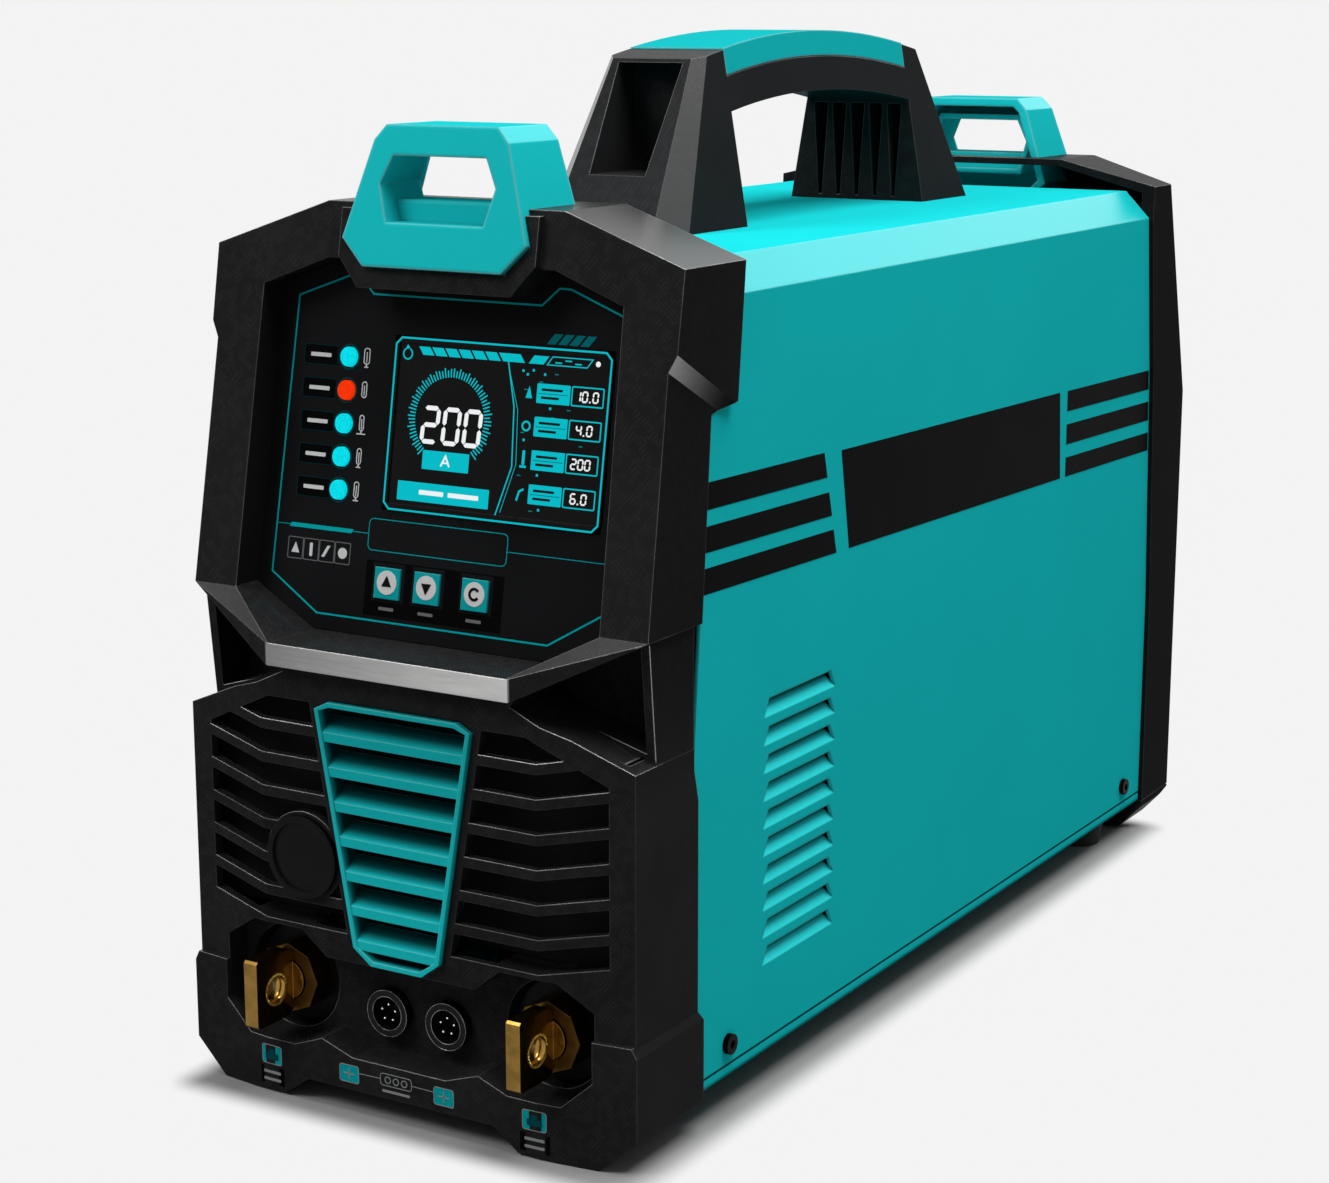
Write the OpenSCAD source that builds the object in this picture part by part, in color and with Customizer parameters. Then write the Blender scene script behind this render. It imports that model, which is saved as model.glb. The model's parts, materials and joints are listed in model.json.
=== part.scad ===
// Portable stud welding power source: two black end mouldings joined by a folded casing.
// Millimetres. X runs across, -Y is the operator's side, +Z is up, z = 0 is the floor.

/* [Body] */
// Width of the front moulding at its waist
body_w = 200; // [192:1:220]
// Length of the casing side between the two mouldings, at the foot
casing_l = 443; // [420:1:500]
// Depth of the front moulding at the foot, from its corner edge to the casing
front_skirt = 45.7; // [44:0.1:56]
// Depth of the rear moulding at the foot
rear_skirt = 35.3; // [34:0.1:46]
// Wall thickness of the mouldings
wall = 3.2; // [2.6:0.1:4]
// Gap left between pieces that are assembled side by side
fit_gap = 0.3; // [0.2:0.05:0.4]

/* [Foot and belt] */
// Height of the belly above the floor
belly_z = 9; // [7:0.5:12]
// Height of the belt step round the foot
belt_z = 48; // [44:0.5:53]
// How far the foot stands out past the waist
foot_flare = 1.6; // [1:0.1:2.4]
// Half width of the foot on the floor, outer side
foot_out = 86.5; // [80:0.5:90]
// Half width of the foot on the floor, inner side
foot_in = 55; // [50:0.5:60]

/* [Terminal bay] */
// Lowest edge of the terminal bay
bay_z = 22; // [20:0.5:25]
// Height of the terminal bay
bay_h = 46.5; // [44:0.5:52]
// Distance of the bay's outer edge from the moulding's corner
bay_margin = 16; // [14:0.5:20]
// Depth of the socket panel behind the corner edges
socket_panel_y = 9; // [6:0.5:12]
// Depth of the terminal pockets behind the corner edges
pocket_y = 20; // [17:0.5:22]
// Distance of each terminal from the middle
terminal_x = 60; // [57:0.5:62]
// Height of the terminals
terminal_z = 43.2; // [42:0.2:45]
// Radius of the terminal insulators
insulator_r = 19.5; // [17:0.5:20.5]
// Thickness of the terminal blade
blade_t = 6; // [5:0.25:8]
// Height of the terminal blade
blade_h = 27; // [24:0.5:28]
// Reach of the blade in front of the corner edges
blade_reach = 18.5; // [16:0.5:20]
// Radius of the eight-sided terminal collar over its corners
collar_r = 14; // [12:0.2:15]
// Radius of the terminal stud
stud_r = 8; // [6:0.25:9]
// Bolt hole radius in the blade
lug_hole_r = 5.25; // [4:0.25:6]
// Distance of the bolt hole behind the blade's front edge
lug_hole_in = 11.5; // [10:0.5:13]
// Distance of each control socket from the middle
socket_x = 13.6; // [13:0.2:15]
// Height of the control sockets
socket_z = 37.5; // [36.5:0.5:42]
// Outer radius of the control socket ring
socket_r = 9.4; // [8.6:0.2:10]

/* [Air grille] */
// Number of slots on each side
slot_count = 7; // [6:1:7]
// Pitch of the slots
slot_pitch = 13.1; // [12:0.1:13.6]
// Height of one slot
slot_h = 9.1; // [7:0.1:9.6]
// Rise of the outer half of each slot
slot_rise = 6; // [3:0.5:8]
// Half width of the flat middle of the front
knee_x = 62; // [58:0.5:66]
// How far the middle stands in front of the corner edges
knee_y = 5; // [3:0.5:7]
// Half width of the middle insert at its top
insert_top = 35; // [32:0.5:37]
// Half width of the middle insert at its foot
insert_foot = 19.5; // [17:0.5:22]
// Width of the insert's rim
insert_rim = 1.8; // [1.4:0.1:2.6]
// Height of the lip along each slat's front
slat_lip = 3.6; // [2.4:0.1:4]
// Radius of the blank cap on the left grille
badge_r = 16; // [13:0.5:17]
// Distance of the blank cap from the middle
badge_x = 43; // [42:0.5:45]

/* [Hood] */
// Height of the gill opening at the waist corner above the lowest slot
brow_drop = 22.4; // [20:0.4:26]
// Height of the visor lip
lip_h = 8.6; // [7:0.2:10]
// Half width of the visor lip
lip_half = 54; // [50:0.5:58]
// Reach of the visor lip in front of the corner edges
lip_reach = 10.4; // [9:0.2:12]
// Rise from the sill to the hood's lower corner
corner_rise = 15; // [13:0.5:17]
// Height of the hood from its lower corner to its shoulder
hood_h = 127.4; // [122:0.2:140]
// Rise of the hood's crown above the casing
crown_rise = 17.6; // [15:0.2:20]
// Half width of the crown
crown_half = 52; // [49:0.5:56]
// Backward lean of the hood, degrees
hood_lean = 10; // [8:0.5:11]
// Depth of the display behind the hood's face
display_in = 15; // [12:0.5:17]
// Width of the hood's side posts
post_w = 20; // [18:0.5:22]
// How far the ears stand out past the waist
ear_flare = 3; // [2:0.2:4]
// Slope of the ears' lower edge, degrees
ear_slope = 28; // [24:1:32]

/* [Display] */
// Width of the screen module
lcd_w = 96; // [88:0.5:98]
// Height of the screen module
lcd_h = 64.5; // [58:0.5:68]
// Distance of the screen's centre from the middle
lcd_x = 22.3; // [19:0.1:23]
// Width of a button
button_w = 11.4; // [11:0.1:13]
// Height of a button
button_h = 11.7; // [10:0.1:12]
// How far a button's cap stands out of the film
button_proud = 0.8; // [0.4:0.1:2]
// Distance of the left button from the middle
button_left = 20.2; // [19:0.1:23]
// Distance from the left button to the middle one
button_pitch = 18; // [16:0.2:18.4]
// Distance of the right button from the middle
button_right = 19.4; // [17:0.1:22]
// Travel of a button
button_travel = 1; // [0.6:0.1:1.2]
// Radius of an indicator lamp
lamp_r = 3.7; // [3:0.1:4]
// Pitch of the indicator lamps
lamp_pitch = 12.5; // [11.5:0.1:13]
// Distance of the lamp row from the middle
lamp_x = 46.5; // [44:0.5:50]

/* [Casing] */
// Thickness of the casing sheet
sheet = 1.5; // [1:0.1:2]
// Chamfer along the top edges
casing_chamfer = 12.5; // [9:0.5:15]
// Height of the casing's lower edge
casing_z = 19; // [17:0.5:21]
// Number of louvres on each side
louvre_count = 10; // [6:1:10]
// Pitch of the louvres
louvre_pitch = 10.93; // [10:0.01:11.5]
// Height of the lowest louvre
louvre_z = 50; // [47:0.5:53]
// Height of one louvre
louvre_h = 7; // [5:0.25:8]
// Length of a louvre along its lower edge
louvre_l = 58; // [40:0.5:70]
// Distance of the louvres from the front moulding
louvre_in = 48; // [40:0.5:70]
// Depth of a louvre's pressing
louvre_depth = 4; // [3:0.2:5]
// Height of the slit above a louvre's flap
louvre_slit = 1.8; // [1:0.1:2.4]
// Radius of a casing screw's head
screw_r = 4; // [3:0.1:5]
// Height of the casing screws
screw_z = 27.5; // [26:0.5:30]

/* [Handle] */
// Distance from the hood's rear edge to the handle's front foot
handle_in = 64; // [58:0.5:72]
// Length of the handle over both feet
handle_l = 281; // [262:1:300]
// Height of the handle above the casing, at the top of the arch
handle_h = 77; // [72:0.5:84]
// Height of the hand gap at the legs
hand_gap_h = 46; // [43:0.5:50]
// Depth of a leg at its foot
leg_foot = 59; // [54:0.5:64]
// Half width of a leg at its foot
leg_half = 34; // [31:0.5:38]
// Half width of a leg at its top
leg_top_half = 20.5; // [19:0.5:24]
// Backward lean of a leg's outer face over its height
leg_draw = 42; // [36:0.5:45]
// Rise of the arch in the middle
arch_rise = 6.5; // [4:0.5:8]
// Thickness of the coloured cap along the grip
grip_cap_t = 10; // [7:0.5:11]

/* [Lift brackets] */
// Half width of a bracket at its widest
bracket_half = 40.5; // [38:0.5:42]
// Height of a bracket above the crown
bracket_h = 28.4; // [24:0.2:34]
// Depth of a bracket along the machine, at the crown
bracket_l = 36; // [30:0.5:40]
// Wall thickness of a bracket
bracket_wall = 4; // [3:0.25:5]
// How far a bracket stands proud of its moulding
bracket_proud = 5.5; // [4:0.5:7]

/* [Rear] */
// Depth of the recess in the rear panel
rear_recess = 10; // [7:0.5:12]
// Radius of the fan's air way
fan_r = 56; // [50:0.5:57]
// Depth of the fan
fan_l = 38; // [30:1:40]
// Height of the fan's axis
fan_z = 93; // [89:0.5:101]
// Radius of the fan's shaft
fan_shaft_r = 3; // [2:0.25:4]
// Running clearance of the fan's shaft
fan_run = 0.05; // [0.02:0.01:0.08]
// Swing of the power rocker to each side, degrees
rocker_swing = 10; // [6:1:12]
// Radius of the cable gland's bore
gland_bore_r = 6.5; // [5:0.25:8]

/* [Hidden] */
$fn = 64;
over = 1;
knee_inset = 0.4142;

// Widths
body_half = body_w / 2;
foot_half = body_half + foot_flare;
hood_half = body_half + foot_flare;
ear_half = body_half + ear_flare;
casing_half = body_half - 0.5;
lining_half = casing_half - sheet - fit_gap;
inner_half = lining_half - wall + 0.7;

// Heights, from the floor up
bay_top = bay_z + bay_h;
slot_z = bay_top + 2;
brow_z = slot_z + (slot_count - 1) * slot_pitch;
lip_z = brow_z + brow_drop;
sill_z = lip_z + lip_h;
hood_z = sill_z + corner_rise;
shoulder_z = hood_z + hood_h;
casing_top = shoulder_z;
crown_z = shoulder_z + crown_rise;
ear_z = shoulder_z - 29;
display_top = shoulder_z - 3;
boss_z = shoulder_z - 13;
plate_z = casing_z - 4.3;
plate_t = 2;
deck_z = plate_z + plate_t;

// Stations along the machine, from the front corner edges to the rear
hood_y = 6.5;
casing_front = front_skirt;
casing_rear = front_skirt + casing_l;
rear_y = casing_rear + rear_skirt;
crown_rear_y = front_skirt + 26.8;
middle_y = (rear_y - blade_reach) / 2;
handle_y0 = crown_rear_y + handle_in;
handle_mid = handle_y0 + handle_l / 2;
leg_inner_0 = handle_y0 + leg_foot;
leg_inner_1 = handle_y0 + handle_l - leg_foot;
handle_foot_z = casing_top;
rear_panel_y = rear_y - rear_recess;
rear_panel_t = wall;
fan_front_y = rear_panel_y - rear_panel_t - fan_l;

// Display plane
lean = tan(hood_lean);
panel_t = 2;
floor_t = 2.6;
panel_rise = 8;
panel_z = hood_z + panel_rise;

// Profile given as (y, z), run across the machine
module along_x(w) {
    rotate([90, 0, 90])
        linear_extrude(height = w, center = true)
            children();
}

// Profile given as (x, z), run from station y0 to station y1
module along_y(y0, y1) {
    translate([0, y1, 0])
        rotate([90, 0, 0])
            linear_extrude(height = y1 - y0)
                children();
}

// Profile given as (x, y), run from height z0 to height z1
module along_z(z0, z1) {
    translate([0, 0, z0])
        linear_extrude(height = z1 - z0)
            children();
}

// Cylinder along the machine
module rod_y(r, y0, y1) {
    translate([0, y1, 0])
        rotate([90, 0, 0])
            cylinder(r = r, h = y1 - y0);
}

// Right half of an outline, closed by its mirror image
function both(h) = concat(h, [for (i = [len(h) - 1:-1:0]) [-h[i][0], h[i][1]]]);

module pair() {
    children();
    mirror([1, 0, 0])
        children();
}

// Moves the stations so that the origin is under the middle of the machine
module placed() {
    translate([0, -middle_y, 0])
        children();
}

// Station of the hood's leaning face at height z
function face_y(z) = hood_y + lean * (z - hood_z);

// Frame of the display: x across, z up the leaning face, y into the machine from the recess floor
module on_display(x, s) {
    translate([0, face_y(panel_z) + display_in, panel_z])
        rotate([-hood_lean, 0, 0])
            translate([x, 0, s])
                children();
}

module front_plate(w, h, n0, n1) {
    translate([-w / 2, n0, -h / 2])
        cube([w, n1 - n0, h]);
}

// Joint between moulding and casing, seen from the side
waist_in = 4.7;
belt_in = 1.7;
ear_border_drop = 50;
function front_border(d) = [
    [casing_front + d, -over],
    [casing_front + d, belt_z - 3.5],
    [casing_front - belt_in + d, belt_z],
    [casing_front - belt_in + d, brow_z - 20],
    [casing_front - waist_in + d, brow_z - 8],
    [casing_front + 6.3 + d, shoulder_z - ear_border_drop - 3.5],
    [casing_front + 20.6 + d, shoulder_z - ear_border_drop],
    [crown_rear_y - 1 + d, shoulder_z],
    [crown_rear_y + d, crown_z + over]
];
function rear_border(d) = [
    [casing_rear + d, -over],
    [casing_rear + d, brow_z - 30],
    [casing_rear - 6.5 + d, shoulder_z - 88],
    [casing_rear - 15 + d, shoulder_z - 14],
    [casing_rear - 13 + d, crown_z + over]
];
function reversed(p) = [for (i = [len(p) - 1:-1:0]) p[i]];

// Cross-section of the casing, drawn in by d all round
function casing_outline(d, z0) = both([
    [casing_half - d, z0],
    [casing_half - d, casing_top - casing_chamfer - knee_inset * d],
    [casing_half - casing_chamfer - knee_inset * d, casing_top - d]
]);

// Grille insert outline, drawn in by d
insert_z0 = bay_top - 8;
insert_z1 = slot_z + (slot_count - 1) * slot_pitch + slot_h + 1.5;
function insert_outline(d) = both([
    [insert_foot - 8 - d / 2, insert_z0 + d],
    [insert_foot - d, insert_z0 + 6 + d / 3],
    [insert_top - d, insert_z1 - 3 - d / 3],
    [insert_top - 6 - d / 2, insert_z1 - d]
]);
function insert_edge(z) =
    insert_foot + (insert_top - insert_foot) * (z - insert_z0 - 6) / (insert_z1 - insert_z0 - 9);

// Terminal bay outline, grown by d
function bay_outline(d) = both([
    [21.5 - d / 2, bay_z - d],
    [36, bay_z + 5 - d],
    [49, bay_z - d],
    [body_half - bay_margin - 12.5 + d / 3, bay_z - d],
    [body_half - bay_margin + d, bay_z + 11 - d / 2],
    [body_half - bay_margin + d, bay_top - 9.5 + d / 2],
    [terminal_x + 9 + d / 3, bay_top + d],
    [45 - d / 3, bay_top + d],
    [34 - d / 3, bay_top - 9 + d]
]);

// Display recess outline in the hood, drawn in by d
function display_outline(d) = both([
    [lip_half - 1 - d / 2, sill_z + d],
    [hood_half - post_w - d, hood_z + d / 2],
    [hood_half - post_w - 2 - d, shoulder_z - 14 - d / 2],
    [crown_half - 2 - d / 2, display_top - d],
    [bracket_half + 2 + d / 2, display_top - d],
    [bracket_half - 6.5 + d / 2, boss_z - d]
]);

// Lift bracket outline, drawn in by d
bracket_low = shoulder_z - 5;
bracket_top = crown_z + bracket_h;
function bracket_outline(d) = both([
    [bracket_half - 10 - d / 2, bracket_low + d],
    [bracket_half - d, bracket_low + 10 + d / 3],
    [bracket_half - 11 - d, bracket_top - 5.5 - d / 3],
    [bracket_half - 16 - d / 2, bracket_top - d]
]);
function bracket_window(d) = both([
    [bracket_half - 19 + d / 2, crown_z - 6.5 - d],
    [bracket_half - 15 + d, crown_z + 7],
    [bracket_half - 20 + d / 2, bracket_top - 11 + d]
]);

// Gill opening below the hood's corner, grown by d
function gill_outline(d) = [
    [lip_half - 3 - d, lip_z - 3],
    [lip_half + 10 - d, lip_z - 9 - d],
    [inner_half + 1 + d / 2, brow_z + 4 - d],
    [inner_half + 1 + d / 2, hood_z - 3 + d],
    [lip_half - 1, lip_z - 0.5 + d]
];
gill_y = 30;

// Front moulding: outer form
module hood_form() {
    intersection() {
        union() {
            along_y(-lip_reach - 20, crown_rear_y + 20)
                polygon(both([
                    [lip_half, lip_z],
                    [hood_half, hood_z],
                    [body_half - 0.2, ear_z],
                    [body_half - 0.2, shoulder_z + 0.4],
                    [crown_half, crown_z]
                ]));
            hood_ears();
        }
        along_x(body_w + 40)
            polygon(concat(
                [
                    [-lip_reach, lip_z - over],
                    [-lip_reach, sill_z],
                    [hood_y, hood_z],
                    [face_y(crown_z + over), crown_z + over]
                ],
                reversed([for (p = front_border(0)) if (p[1] > brow_z) p]),
                [[casing_front - waist_in, lip_z - over]]
            ));
        along_z(lip_z - over, crown_z + over)
            polygon(both([
                [lip_half, -lip_reach],
                [hood_half, hood_y],
                [hood_half + 20, hood_y + 6],
                [hood_half + 20, crown_rear_y + 20]
            ]));
    }
}

// Ears on the hood's shoulders, with a bevelled lower edge that falls to the rear
module hood_ears() {
    intersection() {
        translate([0, face_y(ear_z), ear_z])
            rotate([-ear_slope, 0, 0])
                along_y(-60, 90)
                    polygon(both([
                        [body_half - 10, -7],
                        [body_half - 0.6, -7],
                        [ear_half, 0],
                        [ear_half, 80]
                    ]));
        along_y(-20, crown_rear_y + 20)
            polygon(both([
                [ear_half + 5, ear_z - 60],
                [ear_half, shoulder_z],
                [crown_half, crown_z]
            ]));
    }
}

module body_form() {
    intersection() {
        along_y(-knee_y - 10, casing_front + 20)
            polygon(both([
                [body_half, belt_z - 6],
                [body_half, brow_z],
                [lip_half + 11, lip_z - 8],
                [lip_half - 3, lip_z + over]
            ]));
        along_z(belt_z - 6, lip_z + over)
            polygon(both([
                [knee_x, -knee_y],
                [body_half, 0.5],
                [body_half, casing_front - belt_in]
            ]));
        along_x(body_w + 40)
            polygon(concat(
                [[-knee_y - 10, lip_z + over], [-knee_y - 10, belt_z - 8]],
                [[casing_front - belt_in, belt_z - 8]],
                [[casing_front - belt_in, brow_z - 20], [casing_front - waist_in, brow_z - 8]],
                [[casing_front - waist_in, lip_z + over]]
            ));
    }
}

module foot_form() {
    intersection() {
        along_y(-knee_y - 10, casing_front + 20)
            polygon(both([
                [foot_in - 12, belly_z],
                [foot_in, 0],
                [foot_out, 0],
                [foot_half, 13],
                [foot_half, belt_z - 3],
                [body_half - 0.5, belt_z + 0.8]
            ]));
        along_z(-over, belt_z + over)
            polygon(both([
                [knee_x, -knee_y - foot_flare],
                [foot_half, -foot_flare],
                [foot_half, casing_front]
            ]));
        along_x(body_w + 40)
            polygon([
                [-knee_y - foot_flare + 1, 0],
                [-knee_y - foot_flare, 1],
                [-knee_y - foot_flare, belt_z - 3],
                [-knee_y + 1, belt_z + 1.5],
                [casing_front - belt_in, belt_z],
                [casing_front, belt_z - 3.5],
                [casing_front, 0]
            ]);
    }
}

// Side cheeks behind the gills
module cheek_form() {
    along_x(2 * body_half - 0.4)
        polygon([
            [hood_y + 3.5, hood_z + 2],
            [hood_y + 8.5, brow_z - 2],
            [casing_front - waist_in - 0.2, brow_z - 2],
            [casing_front - waist_in - 0.2, hood_z + 2]
        ]);
}

// Black rim in the hood that carries the lift bracket
module bracket_boss() {
    intersection() {
        along_y(0, crown_rear_y)
            polygon(both([
                [bracket_half - 6, boss_z - 0.5],
                [bracket_half + 3, display_top + 1],
                [bracket_half + 3, crown_z - 2],
                [crown_half - 12, crown_z - 2]
            ]));
        along_x(body_w)
            polygon([
                [face_y(boss_z - 5) - 3, boss_z - 5],
                [face_y(crown_z) - 3, crown_z],
                [crown_rear_y - 6, crown_z],
                [face_y(boss_z - 5) + display_in + 8, boss_z - 5]
            ]);
    }
}

module front_form() {
    hood_form();
    body_form();
    foot_form();
    cheek_form();
    bracket_boss();
}

// Hollow inside of the front moulding
module front_hollow() {
    floor_in = display_in + floor_t;
    intersection() {
        along_x(2 * inner_half)
            polygon([
                [-knee_y + wall, plate_z - 0.5],
                [-knee_y + wall, lip_z - 8],
                [face_y(sill_z) + floor_in - 5, lip_z + 2],
                [face_y(sill_z - wall) + floor_in, sill_z - wall],
                [face_y(crown_z - wall) + floor_in, crown_z - wall],
                [crown_rear_y + 20, crown_z - wall],
                [crown_rear_y + 20, plate_z - 0.5]
            ]);
        along_y(-knee_y - 5, crown_rear_y + 30)
            polygon(both([
                [inner_half, plate_z - 0.5],
                [inner_half, shoulder_z - wall],
                [crown_half - 0.4 * wall, crown_z - wall]
            ]));
        along_z(0, crown_z)
            polygon(both([
                [knee_x - 1, -knee_y + wall],
                [inner_half, 0.5 + wall * 1.1],
                [inner_half, crown_rear_y + 30]
            ]));
    }
}

// Slots of the two side grilles
module grille_slots() {
    intersection() {
        pair()
            for (i = [0:slot_count - 1])
                along_y(-knee_y - 8, wall + 6) {
                    z0 = slot_z + i * slot_pitch;
                    polygon([
                        [0, z0],
                        [knee_x, z0],
                        [body_half - 10, z0 + slot_rise],
                        [body_half - 10, z0 + slot_rise + slot_h],
                        [knee_x, z0 + slot_h],
                        [0, z0 + slot_h]
                    ]);
                }
        pair()
            along_y(-knee_y - 10, wall + 8)
                polygon([
                    [insert_edge(slot_z - 2) + 3.5, slot_z - 2],
                    [body_half - 8, slot_z - 2],
                    [body_half - 8, brow_z - 6.5],
                    [lip_half + 12, brow_z + 5.5],
                    [lip_half + 2, brow_z + slot_h + 1],
                    [insert_edge(brow_z + slot_h + 1) + 3.5, brow_z + slot_h + 1]
                ]);
    }
}

badge_z = slot_z + 2 * slot_pitch + 1;

// Openings in the display floor, grown by d
module display_openings(d) {
    on_display(lcd_x, lcd_s)
        front_plate(lcd_w - 6 + 2 * d, lcd_h - 6 + 2 * d, -10, 12);
    for (x = button_xs)
        on_display(x, button_s)
            front_plate(button_w + 2 * d, button_h + 2 * d, -10, 12);
    for (i = [0:4])
        on_display(-lamp_x, lamp_s + i * lamp_pitch)
            rod_y(lamp_r + d, -10, 12);
}
button_s = -3;
button_xs = [-button_left, button_pitch - button_left, button_right];
lcd_s = hood_h - 38.5 - lcd_h / 2;
lamp_s = lcd_s - 2 * lamp_pitch - 2;

// Rim behind the casing's edge, on which the sheet lies
module casing_rim(y0, y1) {
    difference() {
        along_y(y0, y1)
            polygon(casing_outline(sheet + fit_gap, casing_z + 1));
        along_y(y0 - over, y1 + over)
            polygon(casing_outline(sheet + fit_gap + wall - 0.7, casing_z - over));
        along_y(y0 - over, y1 + over)
            polygon(both([[casing_half - casing_chamfer - 8, casing_z], [casing_half - casing_chamfer - 8, casing_top + 5]]));
    }
}

rim_l = 8;
rim_root = 6;

module front_bezel() {
    color([0.07, 0.07, 0.075])
        placed()
            difference() {
                union() {
                    difference() {
                        front_form();
                        front_hollow();
                    }
                    intersection() {
                        front_form();
                        union() {
                            pair()
                                along_y(-lip_reach, gill_y + 2.5)
                                    polygon(gill_outline(2.5));
                            along_y(-knee_y - 6, socket_panel_y + wall)
                                polygon(bay_outline(wall));
                            pair()
                                translate([terminal_x, 0, terminal_z])
                                    rod_y(insulator_r + 5, -knee_y + 1, pocket_y + wall);
                            translate([-badge_x, 0, badge_z])
                                rod_y(badge_r + 1.5, -knee_y - 0.2, -knee_y + wall);
                        }
                    }
                    intersection() {
                        casing_rim(gill_y + 3, crown_rear_y + 12);
                        along_x(body_w)
                            polygon(concat(
                                [[0, crown_z + over], [0, -over]],
                                front_border(rim_l)
                            ));
                    }
                }
                pair()
                    along_y(-lip_reach - 20, gill_y)
                        polygon(gill_outline(0));
                along_y(-knee_y - 20, socket_panel_y)
                    polygon(bay_outline(0));
                pair()
                    translate([terminal_x, 0, terminal_z]) {
                        rod_y(insulator_r + 1.5, -knee_y - 20, pocket_y);
                        rod_y(insulator_r - 7 + fit_gap, pocket_y - over, pocket_y + wall + 10);
                    }
                for (x = [-socket_x, socket_x])
                    translate([x, 0, socket_z])
                        rod_y(socket_r - 1.6 + 0.2, 0, socket_panel_y + wall + 10);
                intersection() {
                    along_y(-lip_reach - 20, crown_rear_y)
                        polygon(display_outline(0));
                    along_x(body_w)
                        polygon([
                            [-lip_reach - 30, sill_z - 10],
                            [-lip_reach - 30, crown_z],
                            [face_y(crown_z) + display_in, crown_z],
                            [face_y(sill_z - 10) + display_in, sill_z - 10]
                        ]);
                }
                display_openings(fit_gap);
                grille_slots_but_badge();
                along_y(-knee_y - 10, -knee_y + wall + 8)
                    polygon(insert_outline(-fit_gap));
                bracket_solid(fit_gap, 0);
            }
}

module grille_slots_but_badge() {
    difference() {
        grille_slots();
        translate([-badge_x, 0, badge_z])
            rod_y(badge_r + 1.5, -knee_y - 30, wall + 30);
    }
}

// Inclined slats with a front lip, in a dished frame
slat_l = wall + 4.2;
module grille_insert() {
    color([0.05, 0.6, 0.6])
        placed() {
            difference() {
                union() {
                    along_y(-knee_y - 2, -knee_y + wall + 3)
                        polygon(insert_outline(0));
                    intersection() {
                        along_y(-knee_y + wall, -knee_y + wall + 3)
                            polygon(insert_outline(-2.2));
                        along_z(bay_top + wall, lip_z)
                            square(body_w, center = true);
                    }
                }
                along_y(-knee_y - 3, -knee_y + wall + 4)
                    polygon(insert_outline(insert_rim));
            }
            intersection() {
                along_y(-knee_y - 1.6, -knee_y - 1.6 + slat_l)
                    polygon(insert_outline(insert_rim - 0.4));
                for (i = [0:slot_count - 1])
                    translate([0, -knee_y - 1.6, slot_z + i * slot_pitch])
                        along_x(body_w)
                            polygon([
                                [0, -slat_lip - 1],
                                [0, -1],
                                [slat_l, 4],
                                [slat_l, 2.4],
                                [1.6, -2.2],
                                [1.6, -slat_lip - 1]
                            ]);
            }
        }
}

// Foam filter that stands on the bay's roof behind the slots
filter_t = 4;
filter_y = socket_panel_y + wall - filter_t;
module grille_filter() {
    color([0.03, 0.03, 0.03])
        placed()
            along_y(filter_y, filter_y + filter_t)
                polygon(both([
                    [inner_half - 2, bay_top + wall],
                    [inner_half - 2, brow_z - 2],
                    [lip_half - 6, lip_z - 8],
                    [lip_half - 6, lip_z - 4]
                ]));
}

// Blank round cap
module grille_cap() {
    color([0.1, 0.1, 0.1])
        placed()
            translate([-badge_x, 0, badge_z]) {
                difference() {
                    rod_y(badge_r, -knee_y - 2.2, -knee_y - 0.2);
                    rod_y(badge_r - 2.4, -knee_y - 3, -knee_y - 1.2);
                }
            }
}

module display_panel() {
    color([0.03, 0.04, 0.05])
        placed()
            difference() {
                intersection() {
                    along_y(-lip_reach, crown_rear_y)
                        polygon(display_outline(fit_gap));
                    along_x(body_w)
                        polygon([
                            [face_y(sill_z - 5) + display_in - panel_t, sill_z - 5],
                            [face_y(crown_z) + display_in - panel_t, crown_z],
                            [face_y(crown_z) + display_in, crown_z],
                            [face_y(sill_z - 5) + display_in, sill_z - 5]
                        ]);
                }
                on_display(lcd_x, lcd_s)
                    front_plate(lcd_w + 2 * fit_gap, lcd_h + 2 * fit_gap, -10, 12);
                display_openings(fit_gap);
            }
}

module lcd_screen() {
    color([0.05, 0.15, 0.2])
        placed()
            on_display(lcd_x, lcd_s) {
                difference() {
                    along_y(-panel_t - 0.8, 0)
                        polygon(both([
                            [lcd_w / 2 - 3, -lcd_h / 2],
                            [lcd_w / 2, -lcd_h / 2 + 3],
                            [lcd_w / 2, lcd_h / 2 - 3],
                            [lcd_w / 2 - 3, lcd_h / 2]
                        ]));
                    front_plate(lcd_w - 5, lcd_h - 5, -panel_t - 2, -panel_t - 0.2);
                }
                front_plate(lcd_w - 6, lcd_h - 6, -0.5, 6);
            }
}

// Push button: cap in front of the floor, retaining flange behind it
button_lip = 1.3;
button_back = floor_t + fit_gap + 1.4;
module push_button(x) {
    placed()
        on_display(x, button_s) {
            front_plate(button_w, button_h, -panel_t - button_proud, button_back);
            front_plate(button_w + 2 * button_lip, button_h + 2 * button_lip, floor_t + fit_gap, button_back);
        }
}

module up_button() {
    color([0.05, 0.6, 0.62])
        push_button(button_xs[0]);
}

module down_button() {
    color([0.05, 0.6, 0.62])
        push_button(button_xs[1]);
}

module enter_button() {
    color([0.05, 0.6, 0.62])
        push_button(button_xs[2]);
}

// Indicator lens with a flange behind the floor
module lamp(i) {
    placed()
        on_display(-lamp_x, lamp_s + i * lamp_pitch) {
            rod_y(lamp_r, -panel_t - 0.9, floor_t + 0.5);
            rod_y(lamp_r + 1, floor_t, floor_t + 1);
        }
}

module status_lamps() {
    color([0.3, 0.95, 0.95])
        for (i = [0, 1, 2, 4])
            lamp(i);
}

module fault_lamp() {
    color([0.95, 0.1, 0.1])
        lamp(3);
}

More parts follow.
